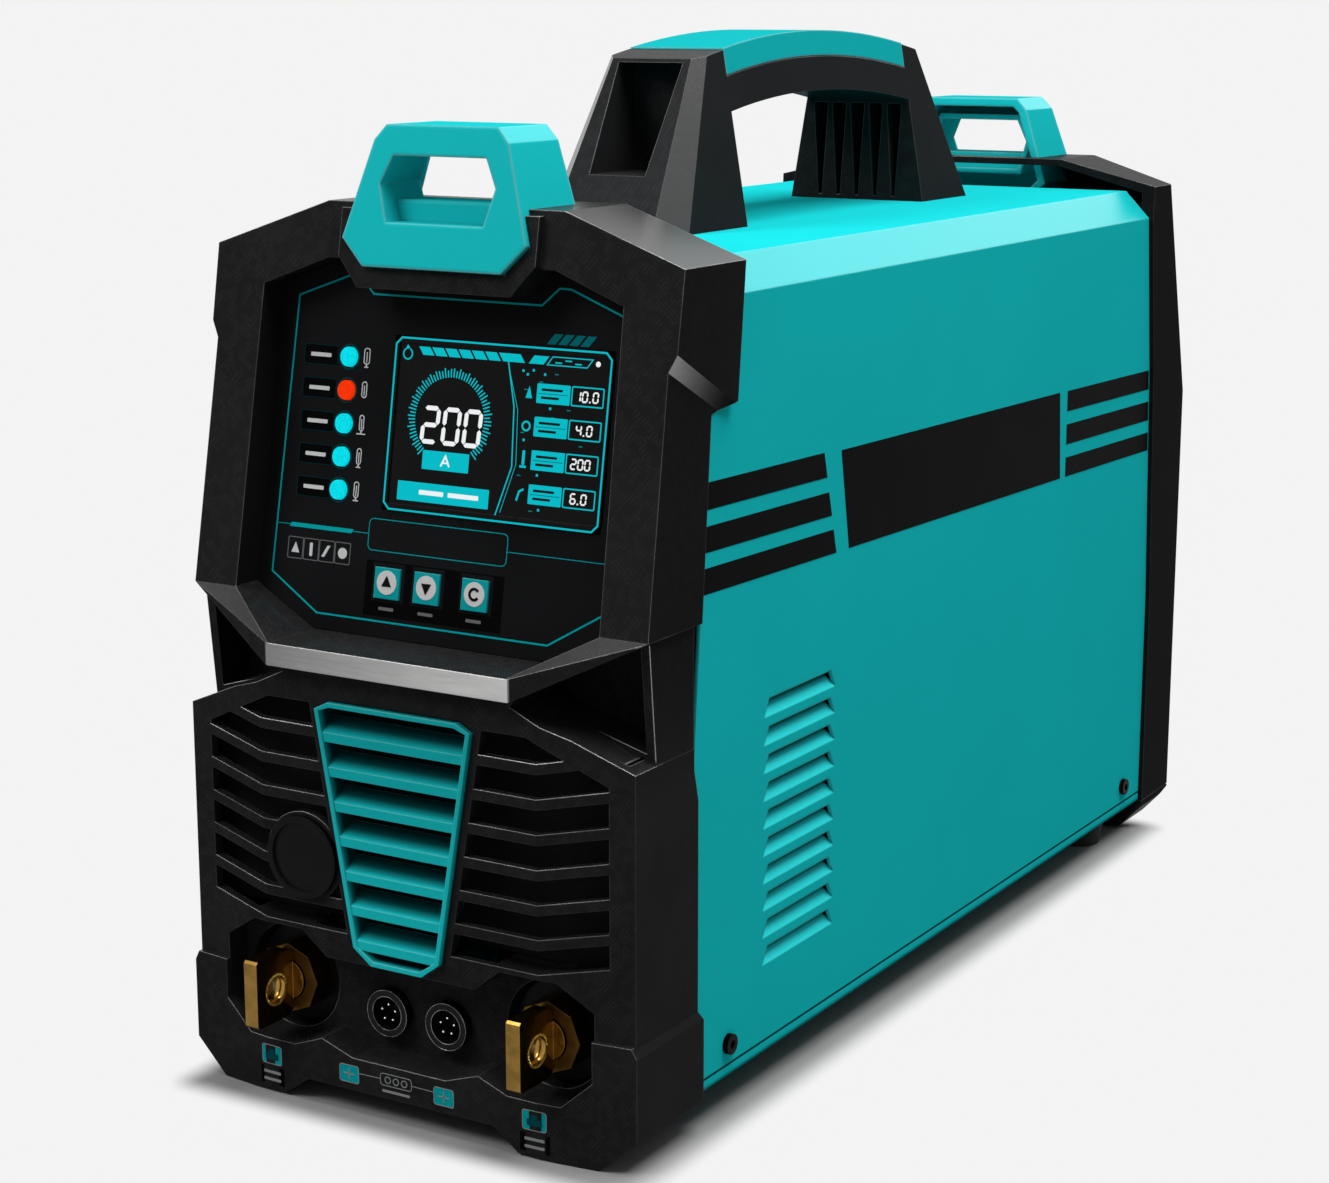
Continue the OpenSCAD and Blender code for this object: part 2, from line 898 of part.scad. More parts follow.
// Output terminal: flat lug on a stud whose shoulder stands out of the collar
stud_shoulder = 1;
stud_y = pocket_y + wall + 17;
collar_y = 4;
insulator_y = pocket_y - 6;
module output_terminal() {
    placed()
        difference() {
            translate([0, 0, terminal_z]) {
                intersection() {
                    translate([-blade_t / 2, -blade_reach, -blade_h / 2])
                        cube([blade_t, blade_reach + collar_y, blade_h]);
                    along_x(2 * blade_t)
                        polygon([
                            [-blade_reach, -blade_h / 2 + 1],
                            [-blade_reach, blade_h / 2 - 1],
                            [-blade_reach + 1, blade_h / 2],
                            [collar_y - 4, blade_h / 2],
                            [collar_y, blade_h / 2 - 2.4],
                            [collar_y, -blade_h / 2 + 2.4],
                            [collar_y - 4, -blade_h / 2],
                            [-blade_reach + 1, -blade_h / 2]
                        ]);
                }
                rod_y(stud_r, collar_y - stud_shoulder, stud_y);
            }
            translate([-20, -blade_reach + lug_hole_in, terminal_z - 0.7])
                rotate([0, 90, 0])
                    cylinder(r = lug_hole_r, h = 40);
        }
}

module gun_terminal() {
    color([0.72, 0.55, 0.2])
        translate([-terminal_x, 0, 0])
            output_terminal();
}

module work_terminal() {
    color([0.72, 0.55, 0.2])
        translate([terminal_x, 0, 0])
            output_terminal();
}

// Eight-sided collars between the lugs and their insulators
module terminal_collars() {
    color([0.72, 0.55, 0.2])
        placed()
            pair()
                translate([terminal_x, 0, terminal_z])
                    difference() {
                        translate([0, insulator_y, 0])
                            rotate([90, 0, 0])
                                cylinder(r = collar_r, h = insulator_y - collar_y, $fn = 8);
                        rod_y(stud_r + fit_gap, collar_y - over, insulator_y + over);
                    }
}

// Flanged insulators that carry the studs in the pocket floor
module terminal_insulators() {
    color([0.05, 0.05, 0.05])
        placed()
            pair()
                translate([terminal_x, 0, terminal_z])
                    difference() {
                        union() {
                            rod_y(insulator_r, insulator_y, pocket_y);
                            rod_y(insulator_r - 7, pocket_y - over, pocket_y + wall + 3);
                        }
                        rod_y(stud_r + fit_gap, insulator_y - over, pocket_y + wall + 4);
                    }
}

busbar_t = 4;
busbar_half = 13;
busbar_y = pocket_y + wall + 3;
nut_r = stud_r + 5.5;
busbar_x = terminal_x - nut_r - 0.5 - busbar_t;
module terminal_nuts() {
    color([0.75, 0.75, 0.75])
        placed()
            pair()
                translate([terminal_x, 0, terminal_z])
                    difference() {
                        translate([0, busbar_y + busbar_t + 7, 0])
                            rotate([90, 0, 0])
                                cylinder(r = nut_r, h = 7, $fn = 6);
                        rod_y(stud_r + 0.1, busbar_y, busbar_y + busbar_t + 10);
                    }
}

// Control sockets: round shell through the panel, core with five pins, nut behind
module control_sockets() {
    color([0.35, 0.35, 0.37])
        placed()
            for (x = [-socket_x, socket_x])
                translate([x, 0, socket_z])
                    difference() {
                        union() {
                            rod_y(socket_r, socket_panel_y - 4, socket_panel_y);
                            rod_y(socket_r - 1.6, socket_panel_y - over, socket_panel_y + wall + 8);
                        }
                        rod_y(socket_r - 2.9, socket_panel_y - 5, socket_panel_y + wall + 9);
                    }
}

module socket_cores() {
    color([0.08, 0.08, 0.08])
        placed()
            for (x = [-socket_x, socket_x])
                translate([x, 0, socket_z]) {
                    rod_y(socket_r - 2.9 - 0.1, socket_panel_y + 2, socket_panel_y + wall + 9);
                    for (a = [0:72:288])
                        rotate([0, a, 0])
                            translate([0, 0, 3.2])
                                rod_y(0.8, socket_panel_y - 2.6, socket_panel_y + 3);
                }
}

module socket_nuts() {
    color([0.7, 0.7, 0.72])
        placed()
            for (x = [-socket_x, socket_x])
                translate([x, 0, socket_z])
                    difference() {
                        translate([0, socket_panel_y + wall + 3.5, 0])
                            rotate([90, 30, 0])
                                cylinder(r = socket_r + 2.4, h = 3.5, $fn = 6);
                        rod_y(socket_r - 1.6 + 0.1, socket_panel_y, socket_panel_y + wall + 9);
                    }
}

// Louvre pressed inwards: opening at its upper edge, slope below
louvre_y = casing_front + louvre_in;
module louvre_window(z) {
    translate([casing_half - sheet / 2, 0, 0])
        along_x(3 * sheet)
            polygon([
                [louvre_y, z],
                [louvre_y + louvre_l, z],
                [louvre_y + louvre_l - 4, z + louvre_h],
                [louvre_y + 4, z + louvre_h]
            ]);
}

module louvre_flap(z) {
    x0 = casing_half;
    x1 = casing_half - louvre_depth;
    h = louvre_h - louvre_slit;
    intersection() {
        translate([0, 0, z])
            along_y(louvre_y, louvre_y + louvre_l)
                polygon([
                    [x0, 0],
                    [x1, h],
                    [x1 - sheet, h],
                    [x1 - sheet, h - 1],
                    [x0 - sheet, -0.8],
                    [x0 - 0.3, -0.8]
                ]);
        translate([casing_half - 5, 0, 0])
            along_x(20)
                polygon([
                    [louvre_y, z - over],
                    [louvre_y + louvre_l, z - over],
                    [louvre_y + louvre_l, z],
                    [louvre_y + louvre_l - 4, z + louvre_h],
                    [louvre_y + 4, z + louvre_h],
                    [louvre_y, z]
                ]);
    }
}

module casing_screw_holes(r) {
    for (y = [casing_front + 21.5, casing_rear - 23])
        pair()
            translate([0, y, screw_z])
                rotate([0, 90, 0])
                    cylinder(r = r, h = body_w);
}

// Folded casing, open below, with pressed louvres in both sides
module casing() {
    color([0.05, 0.62, 0.64])
        placed() {
            difference() {
                intersection() {
                    difference() {
                        along_y(casing_front - 12, casing_rear + 5)
                            polygon(casing_outline(0, casing_z));
                        along_y(casing_front - 13, casing_rear + 6)
                            polygon(casing_outline(sheet, casing_z - over));
                    }
                    along_x(body_w)
                        polygon(concat(front_border(fit_gap), reversed(rear_border(-fit_gap))));
                }
                pair()
                    for (i = [0:louvre_count - 1])
                        louvre_window(louvre_z + i * louvre_pitch);
                casing_screw_holes(2.2);
            }
            pair()
                for (i = [0:louvre_count - 1])
                    louvre_flap(louvre_z + i * louvre_pitch);
        }
}

// Bottom tray: floor, folded flanges inside the casing and an edge below its seam
flange_h = 18;
module base_plate() {
    color([0.05, 0.55, 0.57])
        placed()
            difference() {
                union() {
                    translate([-inner_half + fit_gap, gill_y + 4, plate_z])
                        cube([2 * (inner_half - fit_gap), casing_rear + 12 - gill_y - 4, plate_t]);
                    pair()
                        translate([casing_half - sheet - fit_gap - 1.2, casing_front + rim_l + 1, plate_z])
                            cube([1.2, casing_l - 2 * rim_l - 2, flange_h + plate_t]);
                    pair()
                        translate([inner_half - 2, casing_front + fit_gap, plate_z])
                            cube([casing_half - inner_half + 2, casing_l - 2 * fit_gap, casing_z - plate_z - fit_gap]);
                }
                casing_screw_holes(1.9);
            }
}

// Button-head screws through the casing into the tray's flanges
module casing_screws() {
    color([0.06, 0.06, 0.06])
        placed()
            for (y = [casing_front + 21.5, casing_rear - 23])
                pair()
                    translate([casing_half, y, screw_z])
                        rotate([0, 90, 0]) {
                            difference() {
                                cylinder(r = screw_r, h = 2.2);
                                translate([0, 0, 1])
                                    cylinder(r = screw_r * 0.45, h = 2, $fn = 6);
                            }
                            translate([0, 0, -6])
                                cylinder(r = 1.8, h = 6.5);
                        }
}

pad_side = 19;
pad_rear = 36;
pad_r = 14;
pad_low_r = 11.5;
foot_x = body_half - pad_side;
foot_y = casing_rear - pad_rear;
module rubber_feet() {
    color([0.03, 0.03, 0.03])
        placed()
            pair()
                translate([foot_x, foot_y, 0])
                    difference() {
                        cylinder(r1 = pad_low_r, r2 = pad_r, h = plate_z);
                        translate([0, 0, -over])
                            cylinder(r = 4, h = 8 + over);
                    }
}

// Rear moulding: outer form
rear_foot_z = 3;
rear_knee_z = shoulder_z - 102;
rear_drop = 3.5;
rear_crown_z = crown_z - rear_drop;
rear_crown_in = 6;
module rear_form() {
    difference() {
        intersection() {
            along_y(casing_rear - 30, rear_y + 10)
                polygon(both([
                    [foot_out, rear_foot_z],
                    [foot_half, rear_foot_z + 12],
                    [foot_half, shoulder_z + 2.5],
                    [crown_half, rear_crown_z]
                ]));
            along_x(body_w + 40)
                polygon(concat(
                    rear_border(0),
                    [
                        [rear_y - rear_crown_in, crown_z + over],
                        [rear_y, rear_knee_z],
                        [rear_y, rear_foot_z + 10],
                        [rear_y - 10, rear_foot_z - over]
                    ]
                ));
        }
        pair()
            translate([foot_half, rear_y, rear_knee_z])
                rotate([13.4, 0, -27.5])
                    translate([-150, 0, -150])
                        cube([300, 100, 300]);
    }
}

switch_x = -50;
service_z = shoulder_z - 138;
gland_x = 50;
module rear_bezel() {
    color([0.07, 0.07, 0.075])
        placed()
            difference() {
                union() {
                    difference() {
                        rear_form();
                        intersection() {
                            along_y(casing_rear - 40, rear_panel_y - rear_panel_t)
                                polygon(both([
                                    [inner_half, plate_z - 0.5],
                                    [inner_half, shoulder_z + 2.5 - wall],
                                    [crown_half - 0.4 * wall, rear_crown_z - wall]
                                ]));
                            difference() {
                                along_x(body_w)
                                    polygon([
                                        [casing_rear - 40, 0],
                                        [rear_panel_y - rear_panel_t, 0],
                                        [rear_panel_y - rear_panel_t, rear_knee_z],
                                        [rear_y - rear_crown_in - wall - 4, crown_z + over],
                                        [casing_rear - 40, crown_z + over]
                                    ]);
                                pair()
                                    translate([foot_half, rear_y - 4.2 - wall, rear_knee_z])
                                        rotate([13.4, 0, -27.5])
                                            translate([-150, 0, -150])
                                                cube([300, 100, 300]);
                            }
                        }
                    }
                    intersection() {
                        casing_rim(casing_rear - 40, rear_panel_y - rear_panel_t - 2);
                        along_x(body_w)
                            polygon(concat(
                                reversed(rear_border(-rim_l)),
                                rear_border(rim_root)
                            ));
                    }
                }
                along_y(rear_panel_y, rear_y + 20)
                    polygon(both([
                        [body_half - 26, casing_z + 4],
                        [body_half - 14, casing_z + 16],
                        [body_half - 14, rear_knee_z - 18],
                        [body_half - 26, rear_knee_z - 6]
                    ]));
                translate([0, 0, fan_z])
                    rod_y(fan_r, rear_panel_y - rear_panel_t - over, rear_y);
                translate([switch_x, 0, service_z])
                    along_y(rear_panel_y - rear_panel_t - over, rear_y)
                        polygon(both([[13.5, -10.5], [13.5, 10.5]]));
                translate([gland_x, 0, service_z])
                    rod_y(gland_bore_r + 4 + 0.2, rear_panel_y - rear_panel_t - over, rear_y);
                translate([0, 0, service_z])
                    rod_y(6.2, rear_panel_y - rear_panel_t - over, rear_y);
                rear_bracket_frame()
                    bracket_solid(fit_gap, 0);
            }
}

// Lift bracket: hollow eye with a hexagonal window, open to the inside
bracket_rear_y = face_y(crown_z) - bracket_proud + bracket_l;
module bracket_solid(grow, inset) {
    intersection() {
        along_y(-40, bracket_rear_y + grow + inset)
            polygon(bracket_outline(inset - grow));
        along_x(body_w)
            polygon([
                [face_y(bracket_low - 10) - bracket_proud - grow + inset, bracket_low - 10],
                [face_y(bracket_top + 10) - bracket_proud - grow + inset, bracket_top + 10],
                [bracket_rear_y + 40, bracket_top + 10],
                [bracket_rear_y + 40, bracket_low - 10]
            ]);
    }
}

module lift_bracket() {
    difference() {
        bracket_solid(0, 0);
        difference() {
            translate([0, 0.5, 0])
                bracket_solid(0, bracket_wall);
            along_y(-40, bracket_rear_y - 10)
                polygon(bracket_window(2.6));
        }
        along_y(-50, bracket_rear_y + 50)
            polygon(bracket_window(0));
    }
}

module front_lift_bracket() {
    color([0.1, 0.7, 0.72])
        placed()
            lift_bracket();
}

// Places the front bracket's form at the rear, facing the other way
rear_bracket_y = rear_y - rear_crown_in + 1.9 + face_y(crown_z) - bracket_proud;
module rear_bracket_frame() {
    translate([0, rear_bracket_y, -rear_drop])
        mirror([0, 1, 0])
            children();
}

module rear_lift_bracket() {
    color([0.1, 0.7, 0.72])
        placed()
            rear_bracket_frame()
                lift_bracket();
}

// Carry handle: two tapered legs and an arched grip
arch_chord = leg_inner_1 - leg_inner_0;
arch_r = (arch_chord * arch_chord / 4 + arch_rise * arch_rise) / (2 * arch_rise);
grip_low_z = handle_foot_z + hand_gap_h;
handle_top = handle_foot_z + handle_h;
leg_top_z = handle_top - arch_rise;
leg_slope = leg_draw / (leg_top_z - handle_foot_z);
module across(r, z) {
    translate([-body_w / 2, handle_mid, z])
        rotate([0, 90, 0])
            cylinder(r = r, h = body_w, $fn = 96);
}

// The handle's taper, seen from the front
module leg_taper(d) {
    along_y(handle_y0 - 20, handle_y0 + handle_l + 20)
        polygon(both([
            [leg_half + d, handle_foot_z],
            [leg_top_half + d, handle_top + 2]
        ]));
}

module handle_cap_form(d) {
    intersection() {
        translate([-body_w / 2, leg_inner_0 + fit_gap - d, handle_foot_z])
            cube([body_w, arch_chord - 2 * fit_gap + 2 * d, handle_h + 20]);
        difference() {
            across(arch_r + 40, handle_top - arch_r);
            across(arch_r - grip_cap_t - d, handle_top - arch_r);
        }
    }
}

module leg_chamfer() {
    translate([leg_half, handle_y0 + 12, handle_foot_z])
        rotate([0, 0, 50])
            along_x(200)
                polygon([
                    [-80, -10],
                    [-10 * leg_slope * 0.75, -10],
                    [100 * leg_slope * 0.75, 100],
                    [-80, 100]
                ]);
}

module carry_handle() {
    color([0.07, 0.07, 0.075])
        placed()
            difference() {
                intersection() {
                    along_x(body_w)
                        polygon([
                            [handle_y0, handle_foot_z],
                            [handle_y0 + leg_draw + 8 * leg_slope, leg_top_z + 8],
                            [handle_y0 + handle_l - leg_draw - 8 * leg_slope, leg_top_z + 8],
                            [handle_y0 + handle_l, handle_foot_z]
                        ]);
                    leg_taper(0);
                    across(arch_r, handle_top - arch_r);
                }
                intersection() {
                    translate([-body_w / 2, leg_inner_0, handle_foot_z - over])
                        cube([body_w, arch_chord, handle_h]);
                    across(arch_r, grip_low_z + arch_rise - arch_r);
                }
                handle_cap_form(fit_gap);
                for (side = [0, 1])
                    translate([0, handle_mid, 0])
                        mirror([0, side, 0])
                            translate([0, -handle_mid, 0])
                                pair()
                                    leg_chamfer();
                along_y(handle_y0 - 20, leg_inner_0 - 9)
                    polygon(both([[13, handle_foot_z + 22], [15, leg_top_z - 5]]));
                rear_leg_bays();
            }
}

// Pleats on the rear leg's inner face: bays between thin ribs, closing towards the foot
rib_count = 4;
rib_t = 2;
bay_tip = 0.8;
module rear_leg_bays() {
    bays_half = leg_top_half + 3;
    bay = 2 * bays_half / (rib_count + 1);
    leg_rear = handle_y0 + handle_l;
    bays_top = grip_low_z - 2;
    intersection() {
        along_x(body_w)
            polygon([
                [leg_inner_1 - over, handle_foot_z],
                [leg_inner_1 - over, bays_top],
                [leg_rear - leg_draw - 7, bays_top],
                [leg_rear - 10 - 3 * leg_slope, handle_foot_z]
            ]);
        for (i = [0:rib_count])
            translate([-bays_half + (i + 0.5) * bay, 0, 0])
                along_y(leg_inner_1 - over, leg_rear)
                    polygon(both([[bay_tip, handle_foot_z + 2], [(bay - rib_t) / 2, bays_top + over]]));
    }
}

module handle_cap() {
    color([0.1, 0.75, 0.77])
        placed()
            intersection() {
                handle_cap_form(0);
                leg_taper(0);
                across(arch_r + 0.5, handle_top - arch_r);
            }
}

// Axial fan behind the rear panel
fan_half = 60;
hub_r = 20;
module fan_frame() {
    color([0.1, 0.1, 0.1])
        placed()
            translate([0, 0, fan_z]) {
                difference() {
                    along_y(fan_front_y, fan_front_y + fan_l)
                        polygon(both([
                            [fan_half - 5, -fan_half],
                            [fan_half, -fan_half + 5],
                            [fan_half, fan_half - 5],
                            [fan_half - 5, fan_half]
                        ]));
                    rod_y(fan_r, fan_front_y - over, fan_front_y + fan_l + over);
                }
                difference() {
                    union() {
                        rod_y(hub_r, fan_front_y, fan_front_y + 6);
                        for (a = [45:90:315])
                            rotate([0, a, 0])
                                translate([-3, fan_front_y, 0])
                                    cube([6, 5, fan_r + 1]);
                    }
                    rod_y(fan_shaft_r + fan_run, fan_front_y - over, fan_front_y + 7);
                }
            }
}

blade_count = 7;
module fan_rotor() {
    color([0.16, 0.16, 0.17])
        placed()
            translate([0, 0, fan_z]) {
                rod_y(hub_r, fan_front_y + 6.5, fan_front_y + fan_l - 3);
                rod_y(fan_shaft_r, fan_front_y + 0.5, fan_front_y + 7);
                for (i = [0:blade_count - 1])
                    rotate([0, i * 360 / blade_count, 0])
                        intersection() {
                            translate([0, fan_front_y + fan_l / 2 + 2, hub_r - 2])
                                rotate([0, 0, 40])
                                    translate([-16, -0.9, 0])
                                        cube([32, 1.8, fan_r - 1.5 - hub_r + 2]);
                            rod_y(fan_r - 1.5, fan_front_y + 7, fan_front_y + fan_l - 3.5);
                        }
            }
}

// Round wire guard on the rear panel
guard_wire = 1.2;
module fan_guard() {
    color([0.7, 0.7, 0.72])
        placed()
            translate([0, rear_panel_y, fan_z]) {
                for (r = [14:10.5:fan_r + 2])
                    translate([0, guard_wire * 2.6, 0])
                        rotate([-90, 0, 0])
                            rotate_extrude($fn = 72)
                                translate([r, 0])
                                    circle(r = guard_wire, $fn = 16);
                for (a = [45:90:315])
                    rotate([0, a, 0]) {
                        translate([-guard_wire, 0.5, 12])
                            cube([2 * guard_wire, guard_wire * 2.2, fan_r - 8]);
                        translate([-4, 0, fan_r + 1])
                            cube([8, guard_wire * 2.2, 8]);
                    }
            }
}

// Power switch: framed housing in the panel and a rocker on a cross pin
module power_switch() {
    color([0.05, 0.05, 0.05])
        placed()
            translate([switch_x, rear_panel_y, service_z])
                difference() {
                    union() {
                        along_y(0, 2)
                            polygon(both([[15.5, -12.5], [15.5, 12.5]]));
                        along_y(-22, 1)
                            polygon(both([[13.2, -10.2], [13.2, 10.2]]));
                    }
                    along_y(-15, 5)
                        polygon(both([[11, -8.6], [11, 8.6]]));
                    translate([-12.2, -1, 0])
                        rotate([0, 90, 0])
                            cylinder(r = 1.5 + 0.05, h = 24.4);
                }
}

module power_rocker() {
    color([0.6, 0.05, 0.05])
        placed()
            translate([switch_x, rear_panel_y - 1, service_z])
                rotate([-rocker_swing, 0, 0]) {
                    along_x(21.4)
                        polygon([
                            [4.4, -7.6],
                            [3.4, 0],
                            [4.4, 7.6],
                            [0, 8],
                            [-4.5, 5],
                            [-5.5, 0],
                            [-4.5, -5],
                            [0, -8]
                        ]);
                    translate([-11.9, 0, 0])
                        rotate([0, 90, 0])
                            cylinder(r = 1.5, h = 23.8);
                }
}

// Mains cable gland with its clamping nut
module cable_gland() {
    color([0.09, 0.09, 0.09])
        placed()
            translate([gland_x, rear_panel_y, service_z])
                difference() {
                    union() {
                        translate([0, 7, 0])
                            rotate([90, 0, 0])
                                cylinder(r = gland_bore_r + 8, h = 7, $fn = 6);
                        rod_y(gland_bore_r + 5.2, 0, 8.5);
                        rod_y(gland_bore_r + 4, -16, 1);
                        translate([0, -rear_panel_t, 0])
                            rotate([90, 0, 0])
                                cylinder(r = gland_bore_r + 8, h = 5, $fn = 6);
                    }
                    rod_y(gland_bore_r, -17, 10);
                }
}

// Shielding gas inlet: hex body and hose tail
module gas_inlet() {
    color([0.75, 0.6, 0.25])
        placed()
            translate([0, rear_panel_y, service_z])
                difference() {
                    union() {
                        translate([0, 4, 0])
                            rotate([90, 0, 0])
                                cylinder(r = 9, h = 4, $fn = 6);
                        rod_y(4, 0, 8.6);
                        rod_y(6, -12, 1);
                        translate([0, -rear_panel_t, 0])
                            rotate([90, 0, 0])
                                cylinder(r = 9, h = 4, $fn = 6);
                    }
                    rod_y(2.2, -13, 10);
                }
}

// Board behind the display, with a switch under each button and a lamp under each lens
board_n = floor_t + 8;
board_t = 1.6;
board_side = 18;
board_half = lamp_x + board_side;
board_low = button_s + 6;
board_high = lcd_s + lcd_h / 2 + 10;
tongue_margin = 4;
switch_w = 6;
post_in = 5;
module control_board() {
    color([0.05, 0.3, 0.15])
        placed() {
            on_display(0, (board_low + board_high) / 2)
                front_plate(2 * board_half, board_high - board_low, board_n, board_n + board_t);
            on_display((button_right - button_left) / 2, button_s)
                front_plate(
                    button_left + button_right + button_w + 2 * tongue_margin,
                    button_h + 2 * tongue_margin,
                    board_n,
                    board_n + board_t
                );
            for (x = button_xs)
                on_display(x, button_s)
                    front_plate(switch_w, switch_w, button_back + button_travel + fit_gap, board_n + board_t / 2);
            for (i = [0:4])
                on_display(-lamp_x, lamp_s + i * lamp_pitch)
                    rod_y(0.65 * lamp_r, floor_t + 1, board_n + board_t / 2);
            for (x = [-board_half + post_in, board_half - post_in])
                for (s = [board_low + post_in, board_high - post_in])
                    on_display(x, s)
                        rod_y(3, floor_t, board_n + board_t / 2);
        }
}

// Finned heatsink standing on the tray in the fan's air stream
sink_l = 170;
sink_half = 54;
sink_h = 62;
sink_rear = fan_front_y - 12;
fin_count = 12;
module heatsink() {
    color([0.75, 0.76, 0.78])
        placed()
            translate([0, sink_rear - sink_l, deck_z]) {
                translate([-sink_half, 0, sink_h - 8])
                    cube([2 * sink_half, sink_l, 8]);
                for (i = [0:fin_count - 1])
                    translate([-sink_half + i * (2 * sink_half - 2.5) / (fin_count - 1), 0, 0])
                        cube([2.5, sink_l, sink_h - 7]);
            }
}

// Board on four posts over the heatsink, with the storage capacitors standing on it
power_half = sink_half + 18;
power_end = 4;
power_t = 1.8;
power_post_h = 6;
power_post_r = 4;
power_post_in = 8;
power_z = deck_z + sink_h + power_post_h;
module power_board() {
    color([0.05, 0.32, 0.16])
        placed()
            translate([0, sink_rear - sink_l, power_z]) {
                translate([-power_half, -power_end, 0])
                    cube([2 * power_half, sink_l + 2 * power_end, power_t]);
                for (x = [power_post_in - sink_half, sink_half - power_post_in])
                    for (y = [power_post_in, sink_l - power_post_in])
                        translate([x, y, -power_post_h])
                            cylinder(r = power_post_r, h = power_post_h + power_t / 2);
            }
}

cap_r = 17.5;
cap_h = 60;
cap_pitch_x = 42;
cap_pitch_y = 50;
module capacitor_bank() {
    color([0.1, 0.12, 0.2])
        placed()
            for (i = [-1:1])
                for (j = [-1:1])
                    translate([i * cap_pitch_x, sink_rear - sink_l / 2 + j * cap_pitch_y, power_z + power_t])
                        cylinder(r = cap_r, h = cap_h);
}

// Output transformer on the tray: two windows in the core, coil round its middle limb
core_in = 75;
core_y = casing_front + core_in;
core_l = 74;
core_half = busbar_x - 0.3;
core_h = 92;
yoke_h = 20;
window_w = 22;
limb_in = 9;
limb_half = core_half / 2 - limb_in;
coil_out = 14;
module transformer_core() {
    color([0.3, 0.3, 0.32])
        placed()
            translate([0, core_y, deck_z])
                difference() {
                    translate([-core_half, 0, 0])
                        cube([2 * core_half, core_l, core_h]);
                    pair()
                        translate([limb_half, -over, yoke_h])
                            cube([window_w, core_l + 2 * over, core_h - 2 * yoke_h]);
                }
}

module transformer_coil() {
    coil_half = limb_half + window_w - fit_gap;
    hole_half = limb_half + fit_gap;
    coil_z = yoke_h + fit_gap;
    color([0.7, 0.4, 0.15])
        placed()
            translate([0, core_y, deck_z + coil_z])
                difference() {
                    translate([-coil_half, -coil_out, 0])
                        cube([2 * coil_half, core_l + 2 * coil_out, core_h - 2 * coil_z]);
                    translate([-hole_half, -fit_gap, -over])
                        cube([2 * hole_half, core_l + 2 * fit_gap, core_h]);
                }
}

// Copper bars from the terminal studs back to the transformer
module output_busbars() {
    color([0.75, 0.42, 0.2])
        placed()
            pair()
                difference() {
                    union() {
                        translate([busbar_x, busbar_y, terminal_z - busbar_half])
                            cube([terminal_x + busbar_half - busbar_x, busbar_t, 2 * busbar_half]);
                        translate([busbar_x, busbar_y, terminal_z - busbar_half])
                            cube([busbar_t, core_y + core_l - busbar_y, 2 * busbar_half]);
                    }
                    translate([terminal_x, 0, terminal_z])
                        rod_y(stud_r + fit_gap, busbar_y - over, busbar_y + busbar_t + over);
                }
}

front_bezel();
grille_insert();
grille_cap();
grille_filter();
display_panel();
lcd_screen();
up_button();
down_button();
enter_button();
status_lamps();
fault_lamp();
gun_terminal();
work_terminal();
terminal_collars();
terminal_insulators();
terminal_nuts();
control_sockets();
socket_cores();
socket_nuts();
casing();
base_plate();
casing_screws();
rubber_feet();
rear_bezel();
front_lift_bracket();
rear_lift_bracket();
carry_handle();
handle_cap();
fan_frame();
fan_rotor();
fan_guard();
power_switch();
power_rocker();
cable_gland();
gas_inlet();
control_board();
heatsink();
power_board();
capacitor_bank();
transformer_core();
transformer_coil();
output_busbars();
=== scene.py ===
"""Dresses the stud welder: finishes for its solids, printed and lit markings, stage, lamps and camera."""

import json
import math

import bpy
import numpy as np
from bpy.props import FloatProperty, FloatVectorProperty, IntProperty, PointerProperty
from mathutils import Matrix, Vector


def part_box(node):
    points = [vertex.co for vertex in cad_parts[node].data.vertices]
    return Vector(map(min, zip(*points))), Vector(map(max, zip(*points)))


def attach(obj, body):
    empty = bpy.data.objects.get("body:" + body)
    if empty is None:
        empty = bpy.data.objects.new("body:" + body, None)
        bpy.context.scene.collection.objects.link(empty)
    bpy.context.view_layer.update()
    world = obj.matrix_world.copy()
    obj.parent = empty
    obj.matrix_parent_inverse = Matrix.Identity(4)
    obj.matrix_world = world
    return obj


bl_info = {
    "name": "Stud Welder Dressing",
    "version": (1, 0, 0),
    "blender": (4, 5, 0),
    "location": "View3D > Sidebar > Welder",
    "description": "Finishes, markings, stage and camera for a portable stud welder",
    "category": "Object",
}

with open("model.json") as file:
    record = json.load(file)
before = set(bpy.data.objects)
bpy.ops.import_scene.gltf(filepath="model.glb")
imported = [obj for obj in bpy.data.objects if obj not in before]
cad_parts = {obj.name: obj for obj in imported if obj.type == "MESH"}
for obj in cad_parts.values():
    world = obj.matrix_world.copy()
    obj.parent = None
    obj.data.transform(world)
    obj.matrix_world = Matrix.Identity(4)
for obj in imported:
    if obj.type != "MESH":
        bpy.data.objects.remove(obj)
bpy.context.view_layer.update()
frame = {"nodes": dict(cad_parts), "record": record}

MM = 0.001
HOUSING = "housing"
KEYS = ("up_button", "down_button", "enter_button")

# Places on the solids, in millimetres. Stations count from the front corner edges, MIDDLE before the origin
MIDDLE = 252.75
LEAN = math.radians(10)
FILM_Z = 203.447
SCREEN_X, SCREEN_S = 22.3, 56.65
LAMP_LOW, LAMP_PITCH = 27, 12.5
KEY_S = -2.7
FOOT_FRONT, FOOT_KNEE, FOOT_FOLD = -6.6 - MIDDLE, 62.0, 5.0 / 39.6
VISOR_FRONT = -10.4 - MIDDLE

# Thickness of the plates, signs and stripes on foot and sides, in millimetres
PLATE = 0.12

